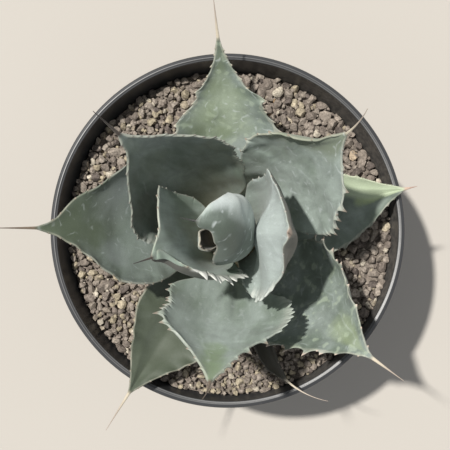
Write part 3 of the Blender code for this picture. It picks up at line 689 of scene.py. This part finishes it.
def build_blade(name, lf, look, seed):
    """One blade and its spine as a tube of rings; face is 0 above, 1 below and 0.5 at the margins"""
    length = blade_length(lf)
    teeth = blade_teeth(lf, look, np.random.default_rng(seed))
    u1 = blade_stations(teeth)
    rows = np.array([-r for r in HALF_ROWS[:0:-1]] + HALF_ROWS)
    count = len(rows)
    t1 = np.concatenate([rows, [1.0], rows[::-1], [-1.0]])
    face1 = np.concatenate([np.zeros(count), [0.5], np.ones(count), [0.5]])
    ring = len(t1)
    middle, tangent, side, up = midrib(lf, u1)

    u, t = np.meshgrid(u1, t1, indexing="ij")
    face = np.broadcast_to(face1, u.shape)
    width = half_width(lf, u, t) - (SPINE_HALF - look["spine_half"]) * u**4
    cup = blade_cup(lf, u, t)
    sin, cos = np.sin(cup * t)[..., None], np.cos(cup * t)[..., None]
    sides, ups, ways = side[:, None, :], up[:, None, :], tangent[:, None, :]
    normal = ups * cos - sides * sin
    outward = (sides * cos + ups * sin) * np.sign(t)[..., None]
    point = middle[:, None, :] + (width / cup)[..., None] * (sides * sin + ups * (1 - cos))

    margins = [margin_shape(u1, sign, teeth) for sign in (1.0, -1.0)]
    out, along, lift, horn, pale = (
        np.where(t > 0, ccw[:, None], cw[:, None]) for ccw, cw in zip(*margins)
    )
    near = np.clip((np.abs(t) - MARGIN_START) / (1 - MARGIN_START), 0, 1) ** MARGIN_EASE
    edge = EDGE * (1.0 - EDGE_THIN * near * np.clip(out / EDGE_THIN_TOOTH, 0, 1))
    depth = edge + lf.thick * (1.0 - FLESH_FADE * u) * (1.0 - np.abs(t) ** FLESH_EASE)
    depth = depth + sum(bulge(u, t, *back) for back in look["backs"])
    above = sum(bulge(u, t, *front) for front in look["fronts"]) * (1.0 - face)
    rise = blade_relief(lf, look, u, t, width, seed) + above - depth * face
    point = point + normal * rise[..., None]
    point = point + outward * (out * near)[..., None]
    point = point + ways * (along * near)[..., None]
    point = point + normal * (lift * near**LIFT_EASE)[..., None]
    for sign, first, last, start, rise, inward, power in look["curls"]:
        share = smoothstep(u, first, first + CURL_EASE) * (1.0 - smoothstep(u, last - CURL_EASE, last))
        share = share * np.where(np.sign(t) == sign, 1.0, 0.0)
        share = (share * np.clip((np.abs(t) - start) / (1.0 - start), 0, 1) ** power)[..., None]
        point = point + normal * rise * share - outward * inward * share
    point = point + np.where(face == 0.5, EDGE_BULGE, 0.0)[..., None] * edge[..., None] * outward

    round_x = np.sin(0.5 * np.pi * t)
    round_z = np.cos(0.5 * np.pi * t) * np.where(face == 1.0, -1.0, 1.0)
    half = 0.5 * SPINE_DEPTH * np.minimum(width, ROUND_HALF)
    oval = middle[:, None, :] + sides * (width * round_x)[..., None]
    oval = oval + ups * (half * (round_z - 1.0))[..., None]
    point = point + (oval - point) * smoothstep(u, ROUNDING_START, 1.0)[..., None]

    spine, spine_tip = blade_spine(lf, look, middle[-1], tangent[-1], side[-1], up[-1], t1, face1)
    last, tip = (len(point) + SPINE_STEPS - 1) * ring, (len(point) + SPINE_STEPS) * ring
    faces = [quad for a in range(0, last, ring) for quad in ring_faces(a, a + ring, ring)]
    faces += [(j, j + 1, 2 * count - j - 1, 2 * count - j) for j in range(count - 1)]
    faces += [(count - 1, count, count + 1), (2 * count, 2 * count + 1, 0)]
    faces += [(tip, last + (j + 1) % ring, last + j) for j in range(ring)]
    item = mesh_object(name, np.concatenate([point.reshape(-1, 3), spine.reshape(-1, 3), [spine_tip]]), faces)

    def with_spine(values, on_spine, at_tip):
        return np.concatenate([values.ravel(), np.broadcast_to(on_spine, spine.shape[:2]).ravel(), [at_tip]])

    s = (np.arange(SPINE_STEPS) + 1.0) / SPINE_STEPS
    place_u = with_spine(u, 1.0 + s[:, None], 2.0)
    place_t, place_face = with_spine(t, t1, 0.0), with_spine(face, face1, 0.0)
    across = with_spine(t * width, t1, 0.0)
    point_value(item, "blade", np.stack([place_u, place_t, place_face], axis=1))
    point_value(item, "lay", np.stack([place_u * length, across, 0 * across], axis=1) * MM)
    point_value(item, "span", with_spine(width, 1.0, 1.0))
    point_value(item, "rim", with_spine((1.0 - np.abs(t)) * width - RIM_TOOTH * out * near, 3.0, 3.0))
    point_value(item, "horn", with_spine(horn * near**3, 0.0, 0.0))
    point_value(item, "pale", with_spine(pale * smoothstep(np.abs(t), MARGIN_START, 0.99), 0.0, 0.0))
    return item


def wall_outer_radius(height):
    top = RIM_RADIUS - COLLAR_OVERHANG
    return BASE_RADIUS + (top - BASE_RADIUS) * height / SHOULDER


def wall_inner_radius(height):
    low = wall_outer_radius(SHOULDER) - WALL
    above = low + (RIM_RADIUS - RIM_BAND - low) * (height - SHOULDER) / COLLAR_HEIGHT
    return np.where(height <= SHOULDER, wall_outer_radius(height) - WALL, above)


def gravel_level(x, y):
    """Height of the gravel between the grains: a dip round the stem, and a heap on one side of the pot"""
    distance = np.hypot(x - STEM_X, y - STEM_Y)
    turn = math.radians(HEAP_AZIMUTH)
    heap = HEAP_HEIGHT * smoothstep(x * math.cos(turn) + y * math.sin(turn), HEAP_START, HEAP_END)
    heap = heap * np.minimum(1.0, distance / HEAP_CLEAR) ** 3
    return GRAVEL_TOP - GRAVEL_DIP * np.maximum(0.0, 1.0 - distance / GRAVEL_DIP_RADIUS) + heap


def gravel_reach(x, y):
    """Radius that the gravel may reach at its own level"""
    return wall_inner_radius(gravel_level(x, y)) - GAP


def coarse_share(x, y):
    """Where the grains are large and brown (1) or fine and yellowish (0), as they lie in the pot"""
    spots = np.stack([x, y], axis=-1)
    right = smoothstep(spots @ np.array(COARSE_WAY), *COARSE_RISE)
    low = smoothstep(-y, *FINE_Y) * smoothstep(x, *FINE_X)
    return np.clip(COARSE_USUAL + COARSE_CHANGE * right - COARSE_CHANGE * low, 0, 1)


def ball(divisions):
    """Corners and faces of a small round form"""
    form = bmesh.new()
    bmesh.ops.create_icosphere(form, subdivisions=divisions, radius=1.0)
    corners = np.array([v.co[:] for v in form.verts])
    faces = np.array([[v.index for v in f.verts] for f in form.faces])
    form.free()
    return corners, faces


def turns(rng, count):
    """Seeded rotation matrices"""
    q = unit(rng.normal(size=(count, 4)))
    w, x, y, z = q.T
    return np.stack([
        1 - 2 * (y * y + z * z), 2 * (x * y - z * w), 2 * (x * z + y * w),
        2 * (x * y + z * w), 1 - 2 * (x * x + z * z), 2 * (y * z - x * w),
        2 * (x * z - y * w), 2 * (y * z + x * w), 1 - 2 * (x * x + y * y),
    ], axis=1).reshape(count, 3, 3)


def stones(rng, centres, radii, divisions, cuts):
    """Broken grains: round forms with seeded flat sides, turned at random"""
    corners, faces = ball(divisions)
    count = len(centres)
    shape = np.repeat(corners[None], count, axis=0)
    shape = shape * rng.uniform(*GRAIN_LUMPS, (count, len(corners), 1))
    for _ in range(cuts):
        way = unit(rng.normal(size=(count, 3)))
        limit = rng.uniform(*GRAIN_CUTS, (count, 1))
        height = np.einsum("gvk,gk->gv", shape, way)
        shape = shape - np.maximum(0.0, height - limit)[..., None] * way[:, None, :]
    stretch = rng.uniform(*GRAIN_STRETCH, (count, 1, 3))
    shape = np.einsum("gij,gvj->gvi", turns(rng, count), shape * stretch)
    shape = shape * np.array([1.0, 1.0, GRAIN_FLAT]) * radii[:, None, None]
    points = (shape + centres[:, None, :]).reshape(-1, 3)
    shift = np.arange(count)[:, None, None] * len(corners)
    return points, (faces[None] + shift).reshape(-1, 3), len(corners)


def scatter(rng, layer):
    """Seeded places and sizes of a layer's grains, the larger ones first, none too near another"""
    hole = STEM_NECK_RADIUS + GRAIN_CLEAR
    radius = np.sqrt(rng.uniform(hole**2, RIM_RADIUS**2, layer.tries))
    turn = rng.uniform(0, math.tau, layer.tries)
    x, y = radius * np.cos(turn), radius * np.sin(turn)
    size = GRAIN_SMALL + (GRAIN_LARGE - GRAIN_SMALL) * rng.beta(*GRAIN_SPREAD, layer.tries)
    size = size * (GRAIN_FINE_AREA + GRAIN_COARSE_AREA * coarse_share(x, y)) * layer.size
    reach = gravel_reach(x, y) - layer.inset
    kept = np.zeros((0, 3))
    for i in np.argsort(-size * rng.uniform(*GRAIN_ORDER, layer.tries)):
        if math.hypot(x[i] - STEM_X, y[i] - STEM_Y) < hole + size[i]:
            continue
        if radius[i] > reach[i] - layer.clear * size[i]:
            continue
        apart = (kept[:, 0] - x[i]) ** 2 + (kept[:, 1] - y[i]) ** 2
        if not (apart < (layer.close * (kept[:, 2] + size[i])) ** 2).any():
            kept = np.vstack([kept, (x[i], y[i], size[i])])
    return kept


def gravel_bed():
    """The layer that the grains lie on: a closed ring round the stem"""
    turn = np.linspace(0, math.tau, BED_STEPS, endpoint=False)
    circle = np.stack([np.cos(turn), np.sin(turn)], axis=1)
    inner = circle * (STEM_NECK_RADIUS + 2 * GAP) + (STEM_X, STEM_Y)
    wall = circle * gravel_reach(*(RIM_RADIUS * circle.T))[:, None]
    loops = []
    for share in np.linspace(0, 1, BED_ROWS):
        row = inner + (wall - inner) * share
        level = gravel_level(*row.T) - BED_DROP + BED_BUMP * swells(row, BED_BUMP_SIZE, GRAVEL_SEED)
        loops.append(np.column_stack([row, level]))
    low = SOIL_TOP + GAP
    for row in (circle * (wall_inner_radius(low) - GAP), inner):
        loops.append(np.column_stack([row, np.full(len(row), low)]))
    faces = []
    for i in range(len(loops)):
        for a, b, c, d in ring_faces(i * BED_STEPS, (i + 1) % len(loops) * BED_STEPS, BED_STEPS):
            faces += [(a, b, c), (a, c, d)]
    return np.concatenate(loops), np.array(faces)


def build_gravel():
    """Three layers of loose grains on their bed, as one piece that keeps clear of the wall"""
    rng = np.random.default_rng(GRAVEL_SEED)
    found = [scatter(rng, layer) for layer in LAYERS]
    parts = []
    for layer, kept in zip(LAYERS, found):
        x, y, size = kept.T
        uneven = rng.uniform(*GRAIN_UNEVEN, len(x))
        z = gravel_level(x, y) + layer.lift + uneven - GRAIN_SINK * (size - GRAIN_USUAL)
        points, faces, corners = stones(rng, np.stack([x, y, z], axis=1), size, layer.divisions, layer.cuts)
        tone, kind = (np.repeat(rng.uniform(0, 1, len(x)), corners) for _ in range(2))
        parts.append((points, faces, tone, kind, np.repeat(coarse_share(x, y), corners)))
    points, faces = gravel_bed()
    plain = np.full(len(points), 0.5)
    parts.append((points, faces, 0 * plain, plain, plain))
    points = np.concatenate([part[0] for part in parts])
    points[:, 2] = np.minimum(points[:, 2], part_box("gravel")[1][2] / MM)
    reach = np.hypot(points[:, 0], points[:, 1])
    points[:, :2] *= np.minimum(1.0, (wall_inner_radius(points[:, 2]) - GAP) / reach)[:, None]
    shifts = np.cumsum([0] + [len(part[0]) for part in parts])
    faces = np.concatenate([part[1] + shift for part, shift in zip(parts, shifts)])
    item = mesh_object("gravel_grains", points, faces)
    item.data.set_sharp_from_angle(angle=math.radians(GRAIN_CREASE))
    for k, name in enumerate(("tone", "kind", "coarse")):
        point_value(item, name, np.concatenate([part[2 + k] for part in parts]))
    place(item, "gravel")
    return item


def turned(profile, steps):
    """A turned body from (radius, height) points; its profile closes, or starts and ends on the axis"""
    points, rings = [], []
    turn = np.linspace(0, math.tau, steps, endpoint=False)
    for radius, height in profile:
        around = turn if radius > 0 else turn[:1]
        rings.append((len(points), len(around)))
        points += [(radius * math.cos(a), radius * math.sin(a), height) for a in around]
    faces = []
    loop = rings + rings[:1] if profile[0][0] > 0 else rings
    for (a, first), (b, second) in zip(loop, loop[1:]):
        quads = ring_faces(a, b, steps)
        if first > 1 and second > 1:
            faces += quads
        elif second > 1:
            faces += [(a, q, r) for _, q, r, _ in quads]
        elif first > 1:
            faces += [(p, b, s) for p, _, _, s in quads]
    return points, faces


def arc(x, z, radius, start, end):
    """Points of a rounding in the profile, angles from the outward direction up"""
    angles = [math.radians(start + (end - start) * i / ROUND_STEPS) for i in range(ROUND_STEPS + 1)]
    return [(x + radius * math.cos(a), z + radius * math.sin(a)) for a in angles]


def subtract(item, cutters):
    """Cuts the cutters out of a piece and removes them"""
    for cutter in cutters:
        made = item.modifiers.new("cut", "BOOLEAN")
        made.operation = "DIFFERENCE"
        made.solver = "EXACT"
        made.object = cutter
    graph = bpy.context.evaluated_depsgraph_get()
    mesh = bpy.data.meshes.new_from_object(item.evaluated_get(graph))
    item.modifiers.clear()
    item.data = mesh
    for cutter in cutters:
        bpy.data.objects.remove(cutter, do_unlink=True)


def build_pot():
    """The pot, turned in one from its lip over the rim and down the outside, and up again inside"""
    inside = RIM_RADIUS - RIM_BAND
    crown = POT_HEIGHT - RIM_CROWN
    profile = arc(inside + RIM_LIP, crown - RIM_LIP, RIM_LIP, 180, 100)
    middle = 0.5 * (inside + RIM_RADIUS) - RIM_LEAN
    half = 0.5 * RIM_BAND - RIM_ROUND
    for share in np.linspace(-1.0, 1.0, 2 * ROUND_STEPS):
        profile.append((middle + half * share, POT_HEIGHT - RIM_CROWN * share * share))
    profile += arc(RIM_RADIUS - RIM_ROUND, crown - RIM_ROUND, RIM_ROUND, 60, 0)
    profile += arc(RIM_RADIUS - COLLAR_DRAFT - COLLAR_EASE, SHOULDER + COLLAR_EASE, COLLAR_EASE, 0, -90)
    root = wall_outer_radius(SHOULDER - COLLAR_EASE)
    profile += [(root + 0.5, SHOULDER), (root + 0.1, SHOULDER - 0.15), (root, SHOULDER - COLLAR_EASE)]
    profile += [(wall_outer_radius(z), z) for z in (*WALL_RINGS[::-1], WALL_FOOT)]
    profile += arc(wall_outer_radius(BASE_ROUND) - BASE_ROUND, BASE_ROUND, BASE_ROUND, 0, -90)
    profile += [(radius, 0.0) for radius in (*BASE_RINGS, 0.0)]
    profile += [(radius, FLOOR) for radius in (0.0, BASE_RINGS[-1], wall_inner_radius(FLOOR) - BASE_ROUND)]
    bend = FLOOR + BASE_ROUND
    profile += arc(wall_inner_radius(bend) - BASE_ROUND, bend, BASE_ROUND, -80, 0)
    profile += [(wall_inner_radius(z), z) for z in (*WALL_RINGS, SHOULDER)]
    item = mesh_object("pot_wall", *turned(profile, POT_STEPS))
    outline = [(0.0, -FLOOR), (DRAIN_RADIUS, -FLOOR), (DRAIN_RADIUS, 2 * FLOOR), (0.0, 2 * FLOOR)]
    points, faces = turned(outline, DRAIN_STEPS)
    cutters = []
    for index in range(DRAIN_HOLES):
        angle = math.tau * (index + DRAIN_TURN) / DRAIN_HOLES
        centre = (DRAIN_RING * math.cos(angle), DRAIN_RING * math.sin(angle), 0.0)
        cutters.append(mesh_object("drain", np.array(points) + centre, [face[::-1] for face in faces]))
    subtract(item, cutters)
    place(item, "pot")
    return item


class Shade:
    """Short forms for building one material, which holds the colour laid on so far"""

    def __init__(self, name):
        self.material = bpy.data.materials.new(name)
        self.material.use_nodes = True
        self.tree = self.material.node_tree
        self.skin = self.tree.nodes["Principled BSDF"]
        self.colour = None

    def feed(self, socket, value):
        if isinstance(value, bpy.types.NodeSocket):
            self.tree.links.new(value, socket)
        elif isinstance(value, tuple) and len(value) == 3 and len(socket.default_value) == 4:
            socket.default_value = (*value, 1.0)
        else:
            socket.default_value = value

    def node(self, kind, inputs=None, **settings):
        made = self.tree.nodes.new("ShaderNode" + kind)
        for key, value in settings.items():
            setattr(made, key, value)
        for key, value in (inputs or {}).items():
            self.feed(made.inputs[key], value)
        return made

    def math(self, operation, a, b=0.0):
        return self.node("Math", {0: a, 1: b}, operation=operation).outputs[0]

    def times(self, *values):
        return reduce(lambda a, b: self.math("MULTIPLY", a, b), values)

    def plus(self, *values):
        return reduce(lambda a, b: self.math("ADD", a, b), values)

    def minus(self, a, b):
        return self.math("SUBTRACT", a, b)

    def value(self, name, output="Fac"):
        return self.node("Attribute", attribute_name=name).outputs[output]

    def where(self):
        return self.node("TexCoord").outputs["Object"]

    def parts(self, vector):
        return self.node("SeparateXYZ", {0: vector}).outputs

    def step(self, value, low, high, start=0.0, end=1.0):
        """Goes smoothly from start, where the value is low, to end, where it is high"""
        return self.node("MapRange", {0: value, 1: low, 2: high, 3: start, 4: end},
                         interpolation_type="SMOOTHSTEP", clamp=True).outputs[0]

    def stretch(self, vector, scales, turn=0.0):
        inputs = {"Vector": vector, "Scale": scales, "Rotation": (0.0, 0.0, turn)}
        return self.node("Mapping", inputs).outputs[0]

    def noise(self, vector, scale, detail=2.0, rough=0.5, distortion=0.0):
        """Noise with a scale in cycles per metre"""
        return self.node("TexNoise", {"Vector": vector, "Scale": scale, "Detail": detail,
                                      "Roughness": rough, "Distortion": distortion}).outputs["Fac"]

    def drawn_noise(self, vector, scales, detail, rough, distortion=0.0, turn=0.0):
        """Noise with a scale of its own in each direction"""
        return self.noise(self.stretch(vector, scales, turn), 1.0, detail, rough, distortion)

    def mix(self, share, a, b, blend="MIX"):
        made = self.node("Mix", data_type="RGBA", blend_type=blend)
        for socket, value in ((0, share), (6, a), (7, b)):
            self.feed(made.inputs[socket], value)
        return made.outputs[2]

    def lay(self, paint, share):
        self.colour = self.mix(share, self.colour, paint)

    def lay_where(self, paint, value, low, high, share=1.0):
        """Lays a share of the paint on where the value is high, and none where it is low"""
        self.lay(paint, self.step(value, low, high, 0.0, share))

    def dim(self, grey):
        """Makes the colour darker by a grey, or brighter where that is over 1"""
        grey = self.node("CombineColor", {0: grey, 1: grey, 2: grey}).outputs[0]
        self.colour = self.mix(1.0, self.colour, grey, "MULTIPLY")

    def bump(self, height, strength, distance, normal=None):
        """A normal bent by a height, of which 1 is a distance in metres"""
        inputs = {"Height": height, "Strength": strength, "Distance": distance}
        if normal is not None:
            inputs["Normal"] = normal
        return self.node("Bump", inputs).outputs[0]

    def finish(self, **values):
        """Feeds the shader's sockets and gives the material"""
        for key, value in {"Base_Color": self.colour, **values}.items():
            self.feed(self.skin.inputs[key.replace("_", " ")], value)
        return self.material


def tint_skin(m, look, u, t, patches, rubs):
    """Lays on the tints and the bands of the look, with edges that the patterns break. Some of them are
    painted light and painted shade
    """
    for at_u, at_t, reach_u, reach_t, share, paint in look["tints"]:
        du = m.math("DIVIDE", m.minus(u, at_u), reach_u)
        dt = m.math("DIVIDE", m.minus(t, at_t), reach_t)
        far = m.plus(m.times(du, du), m.times(dt, dt), m.times(m.minus(rubs, 0.5), 0.9))
        m.lay_where(paint, far, 1.1, 0.05, share)
    for by_u, by_t, shift, soft, share, paint in look["bands"]:
        side = m.plus(m.times(u, by_u), m.times(t, by_t), shift, m.times(patches, 0.3))
        m.lay_where(paint, side, 0.15 - soft, 0.15 + soft, share)


def imprint_skin(m, look, deep, lay, u, t):
    """Draws the lines pressed in by the bud, pale with a shadow, and gives their steps as a height"""
    span = m.value("span")
    presses = []
    for start, slope, first, last, notches, dent in look["imprints"]:
        zigzag = m.math("PINGPONG", m.times(u, 2.0 * notches), 1.0)
        zigzag = m.times(m.math("POWER", zigzag, 1.8), dent)
        waver = m.times(m.minus(m.noise(lay, 60.0, 1.0), 0.5), 0.16)
        off = m.times(m.minus(t, m.plus(m.times(u, slope), start, zigzag, waver)), span)
        within = m.times(m.step(u, first, first + 0.08), m.step(u, last, last - 0.08),
                         m.step(m.noise(lay, 70.0, 1.0), 0.38, 0.6))
        line = m.step(m.math("ABSOLUTE", off), 0.8, 0.1)
        shadow = m.step(m.math("ABSOLUTE", m.plus(off, 1.7)), 1.8, 0.2)
        m.lay(PALE_BLOOM, m.times(line, within, 0.16))
        m.lay(deep, m.times(shadow, within, 0.22))
        presses.append(m.times(m.step(off, -1.6, 1.0), within))
    return m.plus(*presses) if presses else None


def leaf_material(name, look):
    """Mottled green skin under a pale bloom, with tints, painted light and shade, imprints, horny teeth and a
    spine
    """
    m = Shade(name)
    lay = m.value("lay", "Vector")
    u, t, face = m.parts(m.value("blade", "Vector"))
    bloom, streak, mottle = look["bloom"], look["streak"], look["mottle"]
    greens = (DEEP_GREEN, BLUE_GREEN, PALE_BLOOM)
    deep, body, pale = (tuple(look["gain"] * c for c in green) for green in greens)

    drawn = m.stretch(lay, (look["squash"], 1.0, 1.0))
    patches = m.noise(drawn, 55.0, 3.0, 0.55, 0.4)
    clouds = m.noise(drawn, 150.0, 3.0, 0.62, 0.8)
    streaks = m.drawn_noise(lay, (45.0, 420.0, 1.0), 3.0, 0.6)
    rubs = m.drawn_noise(drawn, (150.0, 38.0, 1.0), 4.0, 0.65, 1.2, 0.6)
    specks = m.noise(lay, 1500.0, 2.0, 0.6)

    low = 0.62 - 0.34 * bloom
    m.colour = m.mix(m.step(patches, low - 0.16, low + 0.2), deep, body)
    m.lay(pale, m.times(m.step(rubs, 0.72 - 0.24 * bloom, 0.86 - 0.12 * bloom), 0.35 + 0.4 * bloom))
    m.dim(m.times(m.step(streaks, 0.3, 0.7, 1.0 - streak, 1.0 + streak),
                  m.step(clouds, 0.3, 0.7, 1.0 - mottle, 1.0 + mottle)))
    tint_skin(m, look, u, t, patches, rubs)
    if look["blotch"]:
        m.lay_where(BLOTCH_GREEN, m.noise(drawn, 230.0, 1.0, 0.4), 0.56, 0.68, look["blotch"])
    if look["marks"]:
        drift = m.math("ABSOLUTE", m.minus(m.noise(drawn, 190.0, 0.0, 0.5, 0.5), 0.5))
        where = m.step(m.noise(lay, 210.0, 1.0, 0.5), 0.54, 0.66)
        m.lay(WHITE_BLOOM_AND_HIGHLIGHT, m.times(m.step(drift, 0.085, 0.015, 0.0, look["marks"]), where))
    # Painted shade: the outer tint darkens the lower face, and the inner one darkens the hollow of the upper
    # face
    if look["outer"]:
        share, paint = look["outer"]
        m.lay_where(paint, face, 0.55, 0.95, share)
    if look["inner"]:
        m.lay_where(HOLLOW_PAINTED_SHADE, face, 0.4, 0.2, look["inner"])
    pressed = imprint_skin(m, look, deep, lay, u, t)

    m.lay(RIM_COLOUR, m.times(m.step(m.value("rim"), 0.5, 0.05, 0.0, look["rim_share"]),
                              m.step(patches, 0.35, 0.6, 0.3, 1.0)))
    m.lay(look["frill"], m.value("pale"))
    m.lay_where(look["tooth"], m.value("horn"), 0.3, 0.75, 0.85)
    m.lay_where(m.mix(m.step(u, 1.1, 1.7), look["spine_low"], look["spine_high"]), u, 0.972, 1.02)
    m.dim(m.step(specks, 0.35, 0.7, 0.94, 1.05))

    rough = m.plus(m.step(patches, 0.3, 0.7, 0.46, 0.62), m.step(u, 0.98, 1.04, 0.0, -0.12))
    ridges = m.bump(streaks, 0.12, 0.00015, m.bump(specks, 0.25, 0.00008))
    normal = m.bump(patches, 0.5, 0.0006, ridges)
    if pressed is not None:
        normal = m.bump(pressed, 0.5, 0.0005, normal)
    return m.finish(Roughness=rough, Normal=normal, Specular_IOR_Level=0.42, Sheen_Weight=0.08,
                    Sheen_Roughness=0.5)


def gravel_material():
    """Grey-brown grains, some dark, some yellowish where they are fine, a few pale or orange"""
    m = Shade("gravel_stone_mix")
    where = m.where()
    tone, kind, coarse = m.value("tone"), m.value("kind"), m.value("coarse")
    m.colour = m.mix(tone, (0.185, 0.155, 0.132), (0.330, 0.285, 0.240))
    m.lay_where((0.120, 0.100, 0.088), kind, 0.12, 0.08)
    m.lay_where((0.400, 0.345, 0.245), m.minus(kind, m.times(coarse, 0.30)), 0.56, 0.66, 0.8)
    m.lay_where((0.480, 0.430, 0.350), kind, 0.955, 0.96)
    m.lay_where((0.340, 0.235, 0.140), kind, 0.9965, 0.998)
    pits = m.noise(where, 900.0, 3.0, 0.65)
    cloud = m.noise(where, 260.0, 2.0, 0.5)
    m.dim(m.times(m.step(pits, 0.32, 0.68, 0.62, 1.22), m.step(cloud, 0.3, 0.7, 0.85, 1.12)))
    normal = m.bump(cloud, 0.5, 0.0006, m.bump(pits, 0.7, 0.0004))
    return m.finish(Roughness=m.step(pits, 0.3, 0.7, 0.98, 0.86), Normal=normal, Specular_IOR_Level=0.25)


def pot_material():
    """Charcoal plastic with faint scuffs, and pale dust on the upper part of the inner wall, laid mostly on
    its +x side as painted light where the sun falls
    """
    m = Shade("pot_charcoal")
    where = m.where()
    grain = m.noise(where, 1400.0, 2.0, 0.6)
    cloud = m.noise(where, 26.0, 3.0, 0.55)
    scuffs = m.drawn_noise(where, (240.0, 240.0, 30.0), 4.0, 0.7)
    worn = m.step(scuffs, 0.62, 0.78, 0.0, 0.3)
    m.colour = m.mix(cloud, (0.024, 0.025, 0.027), (0.034, 0.035, 0.037))
    m.lay((0.10, 0.10, 0.10), worn)
    x, y, z = m.parts(where)
    slope = (RIM_RADIUS - COLLAR_OVERHANG - BASE_RADIUS) / SHOULDER
    middle = m.plus(m.times(z, slope), (BASE_RADIUS - 0.5 * WALL) * MM)
    middle = m.math("MINIMUM", middle, (RIM_RADIUS - RIM_BAND + 0.1) * MM)
    away = m.minus(middle, m.math("SQRT", m.plus(m.times(x, x), m.times(y, y))))
    inside = m.times(m.step(away, -0.0002, 0.0004), m.step(z, 0.09, 0.1))
    # Dust on the inner wall, and painted light: it is heaviest on the +x side, where the sun falls
    dust_and_sunlight = m.step(m.noise(where, 420.0, 3.0, 0.6), 0.3, 0.75, 0.15, 0.6)
    m.lay((0.19, 0.175, 0.155), m.times(inside, m.step(x, -0.03, 0.07, 0.0, 0.9), dust_and_sunlight))
    rough = m.plus(m.step(cloud, 0.3, 0.7, 0.38, 0.45), m.times(worn, 0.3))
    normal = m.bump(scuffs, 0.12, 0.0003, m.bump(grain, 0.2, 0.00006))
    gloss = m.minus(0.85, m.times(inside, 0.62))
    return m.finish(Roughness=rough, Normal=normal, Specular_IOR_Level=gloss)


def soil_material():
    m = Shade("soil_crumb")
    crumbs, clods = m.noise(m.where(), 380.0, 4.0, 0.65), m.noise(m.where(), 70.0, 3.0, 0.6)
    m.colour = m.mix(m.step(crumbs, 0.3, 0.7), (0.030, 0.020, 0.013), (0.120, 0.082, 0.052))
    m.lay_where((0.060, 0.040, 0.026), clods, 0.55, 0.75, 0.6)
    normal = m.bump(clods, 0.6, 0.002, m.bump(crumbs, 0.9, 0.0012))
    return m.finish(Roughness=m.step(crumbs, 0.3, 0.7, 0.97, 0.88), Normal=normal)


def stem_material():
    m = Shade("stem_fibre")
    fibres = m.drawn_noise(m.where(), (420.0, 420.0, 40.0), 3.0, 0.6)
    rings = m.drawn_noise(m.where(), (30.0, 30.0, 520.0), 2.0, 0.5)
    m.colour = m.mix(m.step(fibres, 0.3, 0.7), (0.165, 0.125, 0.070), (0.400, 0.350, 0.235))
    m.lay_where((0.120, 0.085, 0.050), rings, 0.55, 0.7, 0.6)
    normal = m.bump(rings, 0.6, 0.0008, m.bump(fibres, 0.6, 0.0004))
    return m.finish(Roughness=m.step(fibres, 0.3, 0.7, 0.88, 0.72), Normal=normal)


def floor_material():
    m = Shade("floor_pale")
    m.colour = m.mix(m.noise(m.where(), 3.0), (0.40, 0.375, 0.34), (0.43, 0.405, 0.37))
    return m.finish(Roughness=0.85)


def dress_node(item, material):
    """Gives a kept solid a material of its own, on the object and not on its mesh"""
    for held in item.material_slots:
        held.link = "OBJECT"
        held.material = material


def build_stage():
    """A plain floor, the sky's light, the sun and the camera"""
    scene = bpy.context.scene
    corners = [(x * STAGE_HALF, y * STAGE_HALF, 0.0) for x, y in ((-1, -1), (1, -1), (1, 1), (-1, 1))]
    floor = mesh_object("floor", corners, [(0, 1, 2, 3)], smooth=False)
    floor.data.materials.append(floor_material())

    scene.world = bpy.data.worlds.new("studio")
    scene.world.use_nodes = True
    sky = scene.world.node_tree.nodes["Background"].inputs
    sky["Color"].default_value = SKY_COLOUR
    sky["Strength"].default_value = SKY_STRENGTH

    sun = bpy.data.lights.new("key", "SUN")
    sun.energy = SUN_STRENGTH
    sun.angle = math.radians(SUN_WIDTH)
    sun.color = SUN_COLOUR
    key = bpy.data.objects.new("key", sun)
    key.rotation_mode = "QUATERNION"
    key.rotation_quaternion = (-Vector(SUN_FROM)).to_track_quat("-Z", "Y")
    scene.collection.objects.link(key)

    camera = bpy.data.cameras.new("camera")
    camera.lens = LENS
    camera.sensor_width = SENSOR
    camera.clip_start = 0.01
    camera.clip_end = 50.0
    view = bpy.data.objects.new("camera", camera)
    view.location = [c * MM for c in CAMERA_AT]
    scene.collection.objects.link(view)
    scene.camera = view
    scene.view_settings.view_transform = "Standard"


def build():
    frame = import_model()
    for number, (name, lf) in enumerate(LEAVES.items()):
        look = {**LOOK_DEFAULTS, **LOOKS[name]}
        item = build_blade(f"{name}_blade", lf, look, BLADE_SEED + 10 * number)
        item.data.materials.append(leaf_material(f"{name}_skin", look))
        place(item, name)
    build_gravel().data.materials.append(gravel_material())
    build_pot().data.materials.append(pot_material())
    dress_node(frame["nodes"]["soil"], soil_material())
    dress_node(frame["nodes"]["stem"], stem_material())
    build_stage()


build()
